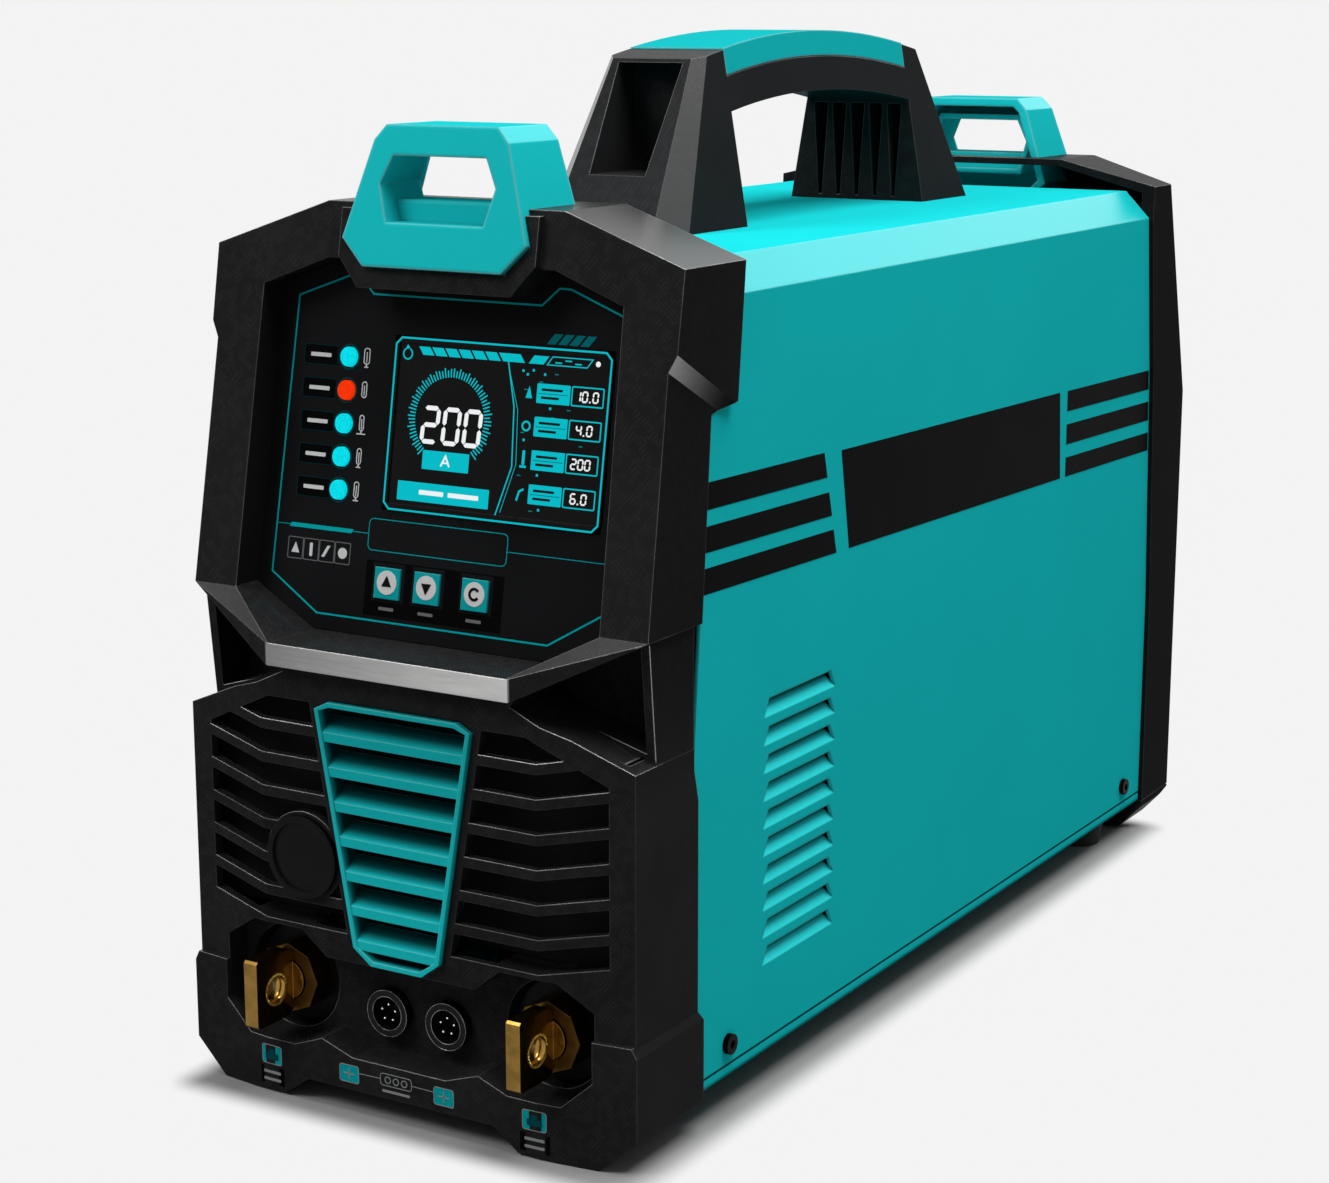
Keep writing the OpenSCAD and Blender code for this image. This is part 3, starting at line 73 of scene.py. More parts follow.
# Zones of the finishes, in metres: each fades from its first place to its second
# Painted shade on the grille slats: along y they darken to the rear, along z towards the top
SLAT_SHADE_Y = ((-7.4 - MIDDLE) * MM, (-2.4 - MIDDLE) * MM)
SLAT_SHADE_Z = (0.07, 0.17)
FOLD_Z = (0.26, 0.28)
# Painted shade: from these heights up, the front moulding's side faces are darker
SIDE_SHADE_Z = (0.14, 0.18)
# Painted highlight: below these heights the grille's edge highlights are dimmer
GRILLE_GLINT_Z = (0.135, 0.145)
GLOSS_X = (0.03, 0.1)
# Painted sheen: across the visor lip it grows, along the ear bevels it fades
LIP_SHEEN_X = (-0.09, 0.06)
EAR_SHEEN_Y = (-0.25, -0.19)
# Painted glint beside the right gill, and the side step that takes no painted edge highlight
GILL_X, GILL_Y, GILL_LOW, GILL_TOP = (0.0968, 0.098), (-0.23, -0.225), (0.149, 0.152), (0.193, 0.196)
STEP_X, STEP_Y, STEP_TOP = (0.0965, 0.098), (-0.236, -0.232), (0.2, 0.21)

# Direction that the bevels below the ears face, on the right side
EAR_BEVEL = (0.889, -0.215, -0.404)

# The photograph's camera: its place in metres, and how far it dips and turns in degrees
CAMERA_PLACE, CAMERA_DIP, CAMERA_TURN = (0.5734, -1.0196, 0.412), 12.34, 31.03


def corners(node):
    """Lowest and highest corner of a solid, in millimetres."""
    low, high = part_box(node)
    return np.array(low) / MM, np.array(high) / MM


def centre(node):
    """Middle of a solid's box, in millimetres."""
    low, high = corners(node)
    return (low + high) / 2


def shade(colour, gain, lift=0.0):
    """A colour times gain plus lift, held at 1."""
    return tuple(min(1.0, c * gain + lift) for c in colour)


# Carriers: each takes (u, v) in millimetres and a lift off its surface, and gives metres


def on_film(uv, lift):
    """Points on the leaning display film: u across, v up the slope, lift along its outward normal."""
    low, _ = corners("display_panel")
    y0 = low[1] + (FILM_Z - low[2]) * math.tan(LEAN)
    u, v = np.asarray(uv, float).T
    c, s = math.cos(LEAN), math.sin(LEAN)
    return np.stack([u, y0 + v * s - lift * c, FILM_Z + v * c + lift * s], 1) * MM


def on_right_side(uv, lift):
    """Points on the casing's right side: u is the station, v the height."""
    _, high = corners("casing")
    u, v = np.asarray(uv, float).T
    return np.stack([np.full_like(u, high[0] + lift), u - MIDDLE, v], 1) * MM


def on_left_side(uv, lift):
    """The right side's points mirrored across the machine; a flipped Printing turns their faces outwards."""
    return on_right_side(uv, lift) * (-1, 1, 1)


def on_foot(uv, lift):
    """Points on the foot's front: flat in the middle, folded back past the knee by a fixed slope."""
    u, v = np.asarray(uv, float).T
    y = FOOT_FRONT + np.maximum(np.abs(u) - FOOT_KNEE, 0) * FOOT_FOLD - lift
    return np.stack([u, y, v], 1) * MM


# Flat shapes, as arrays of (u, v)


def box_outline(u0, u1, v0, v1, r=0.0, steps=5):
    """Rectangle whose corners are quarter circles of radius r, counter-clockwise."""
    if r <= 0:
        return np.array([(u0, v0), (u1, v0), (u1, v1), (u0, v1)], float)
    turn = np.linspace(0, math.pi / 2, steps + 1)
    start = np.array([math.pi, 1.5 * math.pi, 0, 0.5 * math.pi])
    middle = np.array([(u0 + r, v0 + r), (u1 - r, v0 + r), (u1 - r, v1 - r), (u0 + r, v1 - r)])
    angle = start[:, None] + turn[None, :]
    arc = np.stack([np.cos(angle), np.sin(angle)], 2) * r
    return (middle[:, None, :] + arc).reshape(-1, 2)


def arc_line(u, v, r, start=0.0, sweep=360.0, steps=48):
    """Points on a circle of radius r from start degrees through sweep degrees; a whole turn leaves out its end."""
    angle = np.radians(start + np.linspace(0, sweep, steps, endpoint=sweep < 360))
    return np.stack([u + r * np.cos(angle), v + r * np.sin(angle)], 1)


def slanted(u0, u1, v0, v1, shift):
    """Parallelogram whose upper edge is moved by shift."""
    return np.array([(u0, v0), (u1, v0), (u1 + shift, v1), (u0 + shift, v1)], float)


SEGMENTS = {"0": "abcdef", "1": "bc", "2": "abged", "4": "fgbc", "6": "afgecd"}
SEGMENT_ENDS = {
    "a": ((0, 1), (1, 1)), "b": ((1, 0.5), (1, 1)), "c": ((1, 0), (1, 0.5)), "d": ((0, 0), (1, 0)),
    "e": ((0, 0), (0, 0.5)), "f": ((0, 0.5), (0, 1)), "g": ((0, 0.5), (1, 0.5)),
}


def digit_outlines(text, u, v, w, h, bar, gap, shear=0.05):
    """Seven-bar digits: each bar is a long hexagon along an edge of the w by h box; all lean by shear."""
    found = []
    for sign in text:
        if sign == ".":
            found.append(box_outline(u, u + bar, v - bar / 2, v + bar / 2))
            u += bar + gap
            continue
        for name in SEGMENTS[sign]:
            a, b = (np.array(p) * (w, h) + (u, v) for p in SEGMENT_ENDS[name])
            along = (b - a) / np.linalg.norm(b - a)
            across = np.array([-along[1], along[0]]) * bar / 2
            a, b = a + along * bar * 0.12, b - along * bar * 0.12
            tip = along * bar / 2
            found.append(np.array([a, a + tip - across, b - tip - across, b, b - tip + across, a + tip + across]))
        u += w + gap
    return [p + np.stack([(p[:, 1] - v) * shear, np.zeros(len(p))], 1) for p in found]


class Printing:
    """Collects flat shapes on one carrier and gives them all the same small thickness."""

    def __init__(self, carrier, base=0.0, thickness=0.1, flip=False):
        self.carrier, self.base, self.thickness, self.flip = carrier, base, thickness, flip
        self.points, self.faces, self.count = [], [], 0

    def _keep(self, points, faces):
        self.points.append(points)
        if self.flip:
            faces = [f[::-1] for f in faces]
        self.faces.extend([tuple(int(i) + self.count for i in f) for f in faces])
        self.count += len(points)

    def fill(self, outline):
        """A prism: the outline at the base and again one thickness higher, joined by a wall."""
        p = np.asarray(outline, float)
        n = np.roll(p, -1, 0)
        if (p[:, 0] * n[:, 1] - n[:, 0] * p[:, 1]).sum() < 0:
            p = p[::-1]
        k = len(p)
        i = np.arange(k)
        j = (i + 1) % k
        walls = np.stack([i, j, j + k, i + k], 1)
        points = np.vstack([self.carrier(p, self.base), self.carrier(p, self.base + self.thickness)])
        self._keep(points, [i[::-1], i + k, *walls])
        return self

    def fills(self, outlines):
        for outline in outlines:
            self.fill(outline)
        return self

    def box(self, *sizes):
        return self.fill(box_outline(*sizes))

    def frame(self, width, *sizes):
        return self.band(box_outline(*sizes), width, True)

    def band(self, line, width, closed=False):
        """A rectangular profile carried along a line, mitred at its corners: half the width to each side."""
        p = np.asarray(line, float)
        step = np.roll(p, -1, 0) - p
        step /= np.maximum(np.linalg.norm(step, axis=1, keepdims=True), 1e-9)
        if not closed:
            step[-1] = step[-2]
        back = np.roll(step, 1, 0)
        if not closed:
            back[0] = step[0]
        normal = np.stack([-step[:, 1], step[:, 0]], 1)
        before = np.stack([-back[:, 1], back[:, 0]], 1)
        mitre = (normal + before) / np.maximum(1 + (normal * before).sum(1, keepdims=True), 0.4)
        left, right = p + mitre * width / 2, p - mitre * width / 2
        low, high = self.base, self.base + self.thickness
        edges = ((left, low), (right, low), (right, high), (left, high))
        k = len(p)
        i = np.arange(k if closed else k - 1)
        j = (i + 1) % k
        faces = []
        for a, b in ((0, k), (k, 2 * k), (2 * k, 3 * k), (3 * k, 0)):
            faces.extend(np.stack([i + a, j + a, j + b, i + b], 1))
        if not closed:
            ring = np.arange(4) * k
            faces += [ring, ring[::-1] + k - 1]
        self._keep(np.vstack([self.carrier(edge, level) for edge, level in edges]), faces)
        return self

    def object(self, name, finish, body=HOUSING):
        return piece(name, np.vstack(self.points), self.faces, finish, body)


def piece(name, points, faces, finish, body=HOUSING, smooth=False):
    """Puts arrays of points and faces into a mesh that rides on a body."""
    mesh = bpy.data.meshes.new(name)
    mesh.from_pydata(np.asarray(points, float).tolist(), [], [tuple(int(i) for i in f) for f in faces])
    mesh.polygons.foreach_set("use_smooth", np.full(len(mesh.polygons), smooth))
    mesh.materials.append(finish)
    mesh.update()
    obj = bpy.data.objects.new(name, mesh)
    bpy.context.scene.collection.objects.link(obj)
    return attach(obj, body)


def turned(profile, middle, axis, across, steps=48):
    """Closed profile of (radius, height) turned about an axis: a grid of steps by profile points."""
    profile = np.asarray(profile, float)
    axis, across = np.asarray(axis, float), np.asarray(across, float)
    third = np.cross(axis, across)
    angle = np.linspace(0, 2 * math.pi, steps, endpoint=False)
    ring = np.cos(angle)[:, None] * across + np.sin(angle)[:, None] * third
    points = ring[:, None, :] * profile[None, :, :1] + profile[None, :, 1:] * axis
    k = len(profile)
    i, j = np.meshgrid(np.arange(steps), np.arange(k), indexing="ij")
    a, b = (i + 1) % steps, (j + 1) % k
    faces = np.stack([i * k + j, a * k + j, a * k + b, i * k + b], 2).reshape(-1, 4)
    return (points.reshape(-1, 3) + np.asarray(middle, float)) * MM, faces


def gather(parts):
    """Stacks (points, faces) pairs into one pair, each pair's faces counted on from the points before it."""
    starts = np.cumsum([0, *(len(p) for p, _ in parts)])
    return np.vstack([p for p, _ in parts]), np.vstack([f + start for (_, f), start in zip(parts, starts)])


# Shader maths


def math_node(operation, swapped=False):
    """A method that joins its field with another value, or takes it alone, in one Math node."""

    def method(self, other=None):
        values = (self,) if other is None else (other, self) if swapped else (self, other)
        return self.finish.node("Math", {"operation": operation}, dict(enumerate(values)))

    return method


class Field:
    """A shader socket that takes part in Python sums."""

    __add__ = __radd__ = math_node("ADD")
    __sub__, __rsub__ = math_node("SUBTRACT"), math_node("SUBTRACT", True)
    __mul__ = __rmul__ = math_node("MULTIPLY")
    __truediv__, __pow__ = math_node("DIVIDE"), math_node("POWER")
    floor, sine, size = math_node("FLOOR"), math_node("SINE"), math_node("ABSOLUTE")
    modulo, highest = math_node("FLOORED_MODULO"), math_node("MAXIMUM")

    def __init__(self, finish, socket):
        self.finish, self.socket = finish, socket

    def between(self, low, high):
        """0 at low and below, 1 at high and above, smooth in between."""
        return self.finish.node("MapRange", {"interpolation_type": "SMOOTHSTEP"}, {0: self, 1: low, 2: high})


class Finish:
    """One procedural material or world, with the few node patterns that it needs."""

    def __init__(self, name, kind="materials"):
        self.owner = getattr(bpy.data, kind).new(name)
        self.owner.use_nodes = True
        self.tree = self.owner.node_tree
        self.tree.nodes.clear()
        self._coords = None

    def node(self, kind, settings=None, sockets=None, out=0):
        """Adds a node of a type with its settings, then its sockets' values or links; gives one of its outputs."""
        made = self.tree.nodes.new("ShaderNode" + kind)
        for key, value in (settings or {}).items():
            setattr(made, key, value)
        for key, value in (sockets or {}).items():
            if isinstance(value, Field):
                self.tree.links.new(value.socket, made.inputs[key])
            else:
                made.inputs[key].default_value = value
        return Field(self, made.outputs[out])

    def coords(self):
        """Object coordinates, in metres of the object's own frame."""
        if self._coords is None:
            self._coords = self.node("TexCoord", out=3)
        return self._coords

    def part(self, vector, index):
        return self.node("SeparateXYZ", None, {0: vector}, index)

    def axis(self, index):
        return self.part(self.coords(), index)

    def noise(self, size_mm, detail=2.0, rough=0.5, stretch=None):
        """Noise whose features are about size_mm across."""
        where = self.coords()
        if stretch:
            where = self.node("Mapping", None, {"Vector": where, "Scale": stretch})
        sockets = {"Vector": where, "Scale": 1 / (size_mm * MM), "Detail": detail, "Roughness": rough}
        return self.node("TexNoise", None, sockets)

    def mix(self, factor, a, b):
        """Colour a where factor is 0 and colour b where it is 1."""
        colour = [c if isinstance(c, Field) else (*c, 1) for c in (a, b)]
        return self.node("Mix", {"data_type": "RGBA"}, {0: factor, 6: colour[0], 7: colour[1]}, 2)

    def rounded(self, radius_mm, samples=6):
        """Normal of the surface with its edges rounded off."""
        return self.node("Bevel", {"samples": samples}, {"Radius": radius_mm * MM})

    def edge(self, rounded, gain=3.0):
        """1 along sharp edges and 0 on flats, from how far the rounded normal leaves the shading normal."""
        plain = self.node("NewGeometry", out=1)
        same = self.node("VectorMath", {"operation": "DOT_PRODUCT"}, {0: rounded, 1: plain}, 1)
        return ((1 - same) * gain).between(0.0, 1.0)

    def outer_edge(self, rounded, reach_mm, gain=3.0):
        """The edge mask, kept only where nothing stands close by: outer edges, not inner corners."""
        settings = {"samples": 4, "only_local": True}
        room = self.node("AmbientOcclusion", settings, {"Distance": 1.4 * reach_mm * MM}, 1)
        return self.edge(rounded, gain) * room.between(0.75, 0.97)

    def upward(self, normal):
        """1 where a normal points up and 0 where it points down."""
        return self.part(normal, 2).between(-0.15, 0.6)

    def facing(self, index):
        """One part of the direction that the true face points in."""
        return self.part(self.node("NewGeometry", out=3), index)

    def slanted_face(self):
        """1 on faces that lean half up and half sideways, 0 on upright and level ones."""
        across, up = self.facing(0), self.facing(2)
        return (across * across * up * up * 4).between(0.75, 0.98)

    def bump(self, height, depth_mm, strength, normal=None):
        sockets = {"Strength": strength, "Distance": depth_mm * MM, "Height": height}
        if normal is not None:
            sockets["Normal"] = normal
        return self.node("Bump", None, sockets)

    def surface(self, **sockets):
        """Closes the material with one principled shader; underscores in a name stand for spaces."""
        sockets = {k.replace("_", " "): v for k, v in sockets.items()}
        for key, value in sockets.items():
            if isinstance(value, tuple) and len(value) == 3:
                sockets[key] = (*value, 1)
        return self.close(self.node("BsdfPrincipled", None, sockets))

    def close(self, shader, kind="Material"):
        end = self.tree.nodes.new("ShaderNodeOutput" + kind)
        self.tree.links.new(shader.socket, end.inputs["Surface"])
        return self.owner


# Finishes


def painted_sheen_facets(f):
    """Painted sheen, 1 on the visor lip's front and, fading to the rear, on the bevels below the ears."""
    at_front = (VISOR_FRONT * MM - f.axis(1)).between(-0.3 * MM, -0.1 * MM)
    lip = at_front * (0 - f.facing(1)).between(0.9, 0.99) * (f.axis(0).between(*LIP_SHEEN_X) * 0.55 + 0.45)
    across, along, up = EAR_BEVEL
    match = f.facing(0).size() * across + f.facing(1) * along + f.facing(2) * up
    ear = match.between(0.985, 0.995) * (1 - f.axis(1).between(*EAR_SHEEN_Y)) * 0.8
    return lip.highest(ear)


def gill_edge(f):
    """1 along the outer front edge beside the right gill, between the hood and the grille: a painted glint."""
    height = f.axis(2).between(*GILL_LOW) * (1 - f.axis(2).between(*GILL_TOP))
    return height * f.axis(0).between(*GILL_X) * (1 - f.axis(1).between(*GILL_Y)) * 0.9


def side_step(f):
    """1 along the step on the machine's sides behind the gills, whose edge gets no painted highlight."""
    place = f.axis(0).size().between(*STEP_X) * f.axis(1).between(*STEP_Y)
    return place * (1 - f.axis(2).between(*STEP_TOP))


def front_gloss(f):
    """Level faces shine, more towards the outside of the machine."""
    return f.facing(2).size().between(0.5, 0.95) * (f.axis(0).size().between(*GLOSS_X) * 0.65 + 0.35)


def rear_gloss(f):
    """Level faces shine a little."""
    return f.facing(2).size().between(0.5, 0.95) * 0.15


def handle_gloss(f):
    """The bevels of the legs shine, and level faces a little."""
    bevel = f.facing(0).size().between(0.45, 0.6) * f.facing(2).between(0.3, 0.4)
    return (bevel * 0.88).highest(f.facing(2).between(0.4, 0.95) * 0.2)


def grained_moulding(name, colour, glint_colour, gloss, rough=0.44, painted_side_tone=0.62, facets=False):
    """Satin moulded plastic: crossing strokes in square cells, mottling, glossy slopes, painted highlights on edges.

    Side faces are calmer and darker by the side tone, a painted shade; upward outer edges take the painted highlight.
    Facets adds the front moulding's painted sheen on its lip and ears and a painted glint beside the right gill.
    """
    f = Finish(name)
    round_mm, cell, grain = 0.75, 5.6 * MM, 0.05
    normal = f.rounded(round_mm)
    edge = f.outer_edge(normal, round_mm)
    u, v = (f.axis(0) + f.axis(1)) / cell, f.axis(2) / cell
    lean = (u.floor() + v.floor()).modulo(2.0) * 2 - 1
    side = f.facing(0).size().between(0.6, 0.9)
    strokes = ((u * lean + v) * 18.0 + f.noise(7.0) * 6).sine() * 0.5 + 0.5
    strokes = strokes * f.noise(4.0).between(0.42, 0.6) * (1 - side * 0.8)
    fine = f.noise(0.9, 3.0, 0.6)
    cloud = f.noise(38.0, 3.0, 0.55).between(0.3, 0.75)
    base = f.mix(cloud, colour, shade(colour, 1.3))
    # Painted shade: side faces take the darker side tone, on the front moulding only from the hood up
    shaded = side * f.axis(2).between(*SIDE_SHADE_Z) if facets else side
    base = f.mix(shaded, base, f.mix(cloud, shade(colour, painted_side_tone), shade(colour, painted_side_tone * 1.15)))
    base = f.mix(strokes * 0.5, base, shade(colour, 2.2))
    # Painted highlight: upward outer edges pale towards the glint colour and turn metallic, in slow patches; dimmer on
    # the grille low down and none along the side step
    glint = edge * f.upward(normal) * (f.noise(40.0).between(0.35, 0.6) * 0.5 + 0.45)
    if facets:
        glint = glint * (1 - side_step(f)) * (f.axis(2).between(*GRILLE_GLINT_Z) * 0.45 + 0.55)
    base = f.mix(glint, base, glint_colour)
    if facets:
        lip_ear_sheen, gill = painted_sheen_facets(f), edge * gill_edge(f)
        # Painted sheen: a streaked light grey on the lip and ear bevels, also metallic, standing in for light
        # reflected there
        streak = f.noise(1.4, 3.0, 0.6, (0.1, 0.3, 1))
        base = f.mix(lip_ear_sheen, base, f.mix(streak, (0.40, 0.40, 0.40), (0.60, 0.595, 0.59)))
        # Painted glint: the right gill's front edge turns pale and metallic
        base = f.mix(gill, base, glint_colour)
        glint = glint.highest(lip_ear_sheen).highest(gill)
    return f.surface(
        Base_Color=base,
        Metallic=glint,
        Roughness=fine * 0.12 + (rough - 0.06) - strokes * 0.05,
        Specular_IOR_Level=0.004,
        Coat_Weight=(edge * 0.35).highest(gloss(f)),
        Coat_Roughness=0.2,
        Coat_IOR=1.7,
        Normal=f.bump(strokes * 0.8 + fine, grain, 0.5, normal),
    )


def powder_coat(
    name, colour, rough=0.5, round_mm=1.2, edge_gain=3.0, painted_slat_shade=False, half_w=None, hem=None, painted_top_shade_tone=None
):
    """Matt powder coat: two sizes of orange peel, faint clouding, painted highlights on edges and glossy folds up
    high.

    Painted slat shade darkens it to the rear and the top; louvre flaps take a painted highlight outwards and painted
    shade inwards from half_w; a painted dark seam and a painted darker hem lie at the height hem; and a painted top
    shade tone darkens level and side faces and makes all edges pale, a painted highlight.
    """
    f = Finish(name)
    normal = f.rounded(round_mm)
    edge = f.outer_edge(normal, round_mm, edge_gain)
    peel = f.noise(1.6) + f.noise(0.5, 1.0) * 0.35
    base = f.mix(f.noise(90.0, 3.0).between(0.3, 0.7), shade(colour, 0.985), shade(colour, 1.015))
    slant, high = f.slanted_face(), f.axis(2).between(*FOLD_Z)
    # Painted light and shade on the louvre flaps: lighter as a painted highlight, and near black deeper inside the
    # casing as painted shade
    if half_w:
        flap = slant * (1 - high)
        depth = half_w - f.axis(0).size()
        base = f.mix(flap * 0.8, base, shade(colour, 1.5, 0.03))
        base = f.mix(flap * depth.between(2.4 * MM, 3.8 * MM) * 0.95, base, (0.0, 0.008, 0.009))
    if painted_slat_shade:
        # Painted shade on the slats: darker towards the top, and near black towards their rear
        base = f.mix(f.axis(2).between(*SLAT_SHADE_Z) * 0.5, base, shade(colour, 0.5))
        base = f.mix(f.axis(1).between(*SLAT_SHADE_Y) * 0.92, base, (0.002, 0.012, 0.013))
    # Painted shade at the hem: a dark line along the gap between casing and tray, a darker band below it, and no pale
    # edges there
    if hem:
        edge = edge * f.axis(2).between(hem, hem + 2 * MM)
        seam = 1 - (f.axis(2) - hem).size().between(0.3 * MM, 0.8 * MM)
        below = 1 - f.axis(2).between(hem - 3.9 * MM, hem - 2.3 * MM)
        base = f.mix((seam * 0.9).highest(below * 0.6), base, shade(colour, 0.08))
    # Painted light: level faces darker by the tone and side faces darker, as painted shade, and all outer edges pale,
    # as a painted highlight
    if painted_top_shade_tone:
        base = f.mix(f.facing(2).between(0.85, 0.98), base, shade(colour, painted_top_shade_tone))
        base = f.mix(f.facing(0).size().between(0.8, 0.95), base, shade(colour, 0.87))
        base = f.mix(edge * 0.75, base, shade(colour, 0.6, 0.4))
    else:
        # Painted highlight on the outer edges that face up
        base = f.mix(edge * f.upward(normal) * 0.8, base, shade(colour, 0.7, 0.3))
    return f.surface(
        Base_Color=base,
        Roughness=f.noise(5.0) * 0.1 + (rough - 0.05),
        Specular_IOR_Level=0.0,
        Coat_Weight=(edge * 0.6).highest(slant * high * 0.5),
        Coat_Roughness=0.3,
        Normal=f.bump(peel, 0.05, 0.35, normal),
    )


def film_finish(name, colour):
    """Satin front film: a fine pebble and a slow drift in tone."""
    f = Finish(name)
    pebble = f.noise(0.35, 2.0, 0.6)
    return f.surface(
        Base_Color=f.mix(f.noise(60.0).between(0.3, 0.7), colour, shade(colour, 1.4)),
        Roughness=pebble * 0.12 + 0.44,
        Specular_IOR_Level=0.008,
        Normal=f.bump(pebble, 0.02, 0.25),
    )


def ink(name, colour, rough=0.5):
    """Screen-printed ink: slight streaks and pinholes in its tone."""
    f = Finish(name)
    speck = f.noise(0.6, 3.0, 0.6)
    return f.surface(
        Base_Color=f.mix(speck.between(0.2, 0.8), shade(colour, 0.88), colour),
        Roughness=speck * 0.1 + (rough - 0.05),
        Specular_IOR_Level=0.03,
    )


def lit(name, colour):
    """Backlit print: light of its own colour with a fine dot raster in it."""
    f = Finish(name)
    wave = 2 * math.pi / (0.42 * MM)
    raster = (f.axis(0) * wave).sine() * (f.axis(2) * wave).sine() * 0.5 + 0.5
    return f.surface(
        Base_Color=shade(colour, 0.1),
        Roughness=f.noise(0.5) * 0.1 + 0.4,
        Specular_IOR_Level=0.05,
        Emission_Color=f.mix(raster, shade(colour, 0.86), colour),
        Emission_Strength=1.0,
    )


def lens(name, colour):
    """Lit lamp lens: mottled light under a glossy face."""
    f = Finish(name)
    mottle = f.noise(1.1)
    return f.surface(
        Base_Color=shade(colour, 0.3),
        Roughness=mottle * 0.08 + 0.2,
        Specular_IOR_Level=0.06,
        Emission_Color=f.mix(mottle.between(0.3, 0.7), shade(colour, 0.8), colour),
        Emission_Strength=1.0,
        Normal=f.bump(mottle, 0.02, 0.2, f.rounded(0.4, 4)),
    )


def metal(name, colour, rough, brush_mm, stretch=(1, 1, 1), dark=0.7, round_mm=0.35):
    """Machined metal: tool marks stretched along one axis, darker tarnish in patches, bright edges."""
    f = Finish(name)
    normal = f.rounded(round_mm)
    marks = f.noise(brush_mm, 3.0, 0.6, stretch)
    tarnish = f.noise(7.0, 4.0, 0.6)
    base = f.mix(tarnish.between(0.3, 0.75), colour, shade(colour, dark))
    return f.surface(
        Base_Color=f.mix(f.edge(normal, 2.5) * 0.6, base, shade(colour, 1.35, 0.03)),
        Metallic=1.0,
        Roughness=marks * 0.16 + (rough - 0.06) + tarnish * 0.06,
        Normal=f.bump(marks, 0.02, 0.3, normal),
    )


def dull(name, colour, rough, grain_mm=0.8, depth=0.05, spec=0.12):
    """Plain moulded or varnished stuff: fine grain, dusty mottling, soft edges."""
    f = Finish(name)
    grain = f.noise(grain_mm, 3.0, 0.6)
    dust = f.noise(16.0, 3.0, 0.6)
    return f.surface(
        Base_Color=f.mix(dust.between(0.3, 0.75), colour, shade(colour, 1.3, 0.0015)),
        Roughness=grain * 0.14 + (rough - 0.07),
        Specular_IOR_Level=spec,
        Normal=f.bump(grain, depth, 0.4, f.rounded(0.5, 4)),
    )


# Settings


def colour_property(name, default, words):
    return FloatVectorProperty(name=name, description=words, default=default, size=3, min=0, max=1, subtype="COLOR")


def power_property(name, default, words):
    return FloatProperty(name=name, description=words, default=default, unit="POWER")


class WELDER_PG_colours(bpy.types.PropertyGroup):
    """Colours of the machine's main finishes."""

    casing: colour_property("Casing", (0.0105, 0.598, 0.624), "Powder coat of the casing and tray")
    moulding: colour_property("Coloured mouldings", (0.013, 0.635, 0.665), "Lifting eyes, grip cap and grille insert")
    black: colour_property("Black mouldings", (0.017, 0.017, 0.0177), "Front and rear mouldings and handle")
    # Painted highlight: the pale tone that the black mouldings' upward outer edges take, standing in for light caught
    # on them
    edge_glint: colour_property("Highlighted edges", (0.75, 0.75, 0.755), "Paler tone of the black mouldings' edges")
    film: colour_property("Display film", (0.0085, 0.0088, 0.0095), "Film behind the hood")
    glow: colour_property("Screen light", (0.0, 0.50, 0.57), "Lit lines and boxes of the screen")
    line: colour_property("Film lines", (0.0, 0.40, 0.43), "Printed lines on the film")
    brass: colour_property("Brass", (0.27, 0.157, 0.036), "Terminals")


class WELDER_PG_print(bpy.types.PropertyGroup):
    """Sizes of the printed markings."""

    line: FloatProperty(name="Line", description="Width of the film's printed lines", default=0.45 * MM, unit="LENGTH")
    ink: FloatProperty(name="Ink", description="Thickness of a print", default=0.08 * MM, unit="LENGTH")
    ticks: IntProperty(name="Ticks", description="Marks round the screen's gauge", default=64, min=12, max=120)


class WELDER_PG_stage(bpy.types.PropertyGroup):
    """Camera and lamps."""

    lens: FloatProperty(name="Lens", description="Focal length of the camera", default=73.08, unit="CAMERA")
    key: power_property("Top lamp", 21.0, "Power of the soft lamp above")
    side: power_property("Rear lamp", 5.0, "Power of the soft lamp behind on the right")
    front: power_property("Front lamp", 11.0, "Power of the soft lamp in front on the left")
    sky: FloatProperty(name="Room light", description="Strength of the even light of the room", default=0.18)
    paper: FloatProperty(name="Paper", description="Brightness of the pale background", default=0.90)


class WELDER_PG_settings(bpy.types.PropertyGroup):
    """All settings of the dressing."""

    colours: PointerProperty(type=WELDER_PG_colours)
    print: PointerProperty(type=WELDER_PG_print)
    stage: PointerProperty(type=WELDER_PG_stage)


# Operators


class Dressing:
    """What every operator of the dressing shares."""

    bl_options = {"REGISTER", "UNDO"}


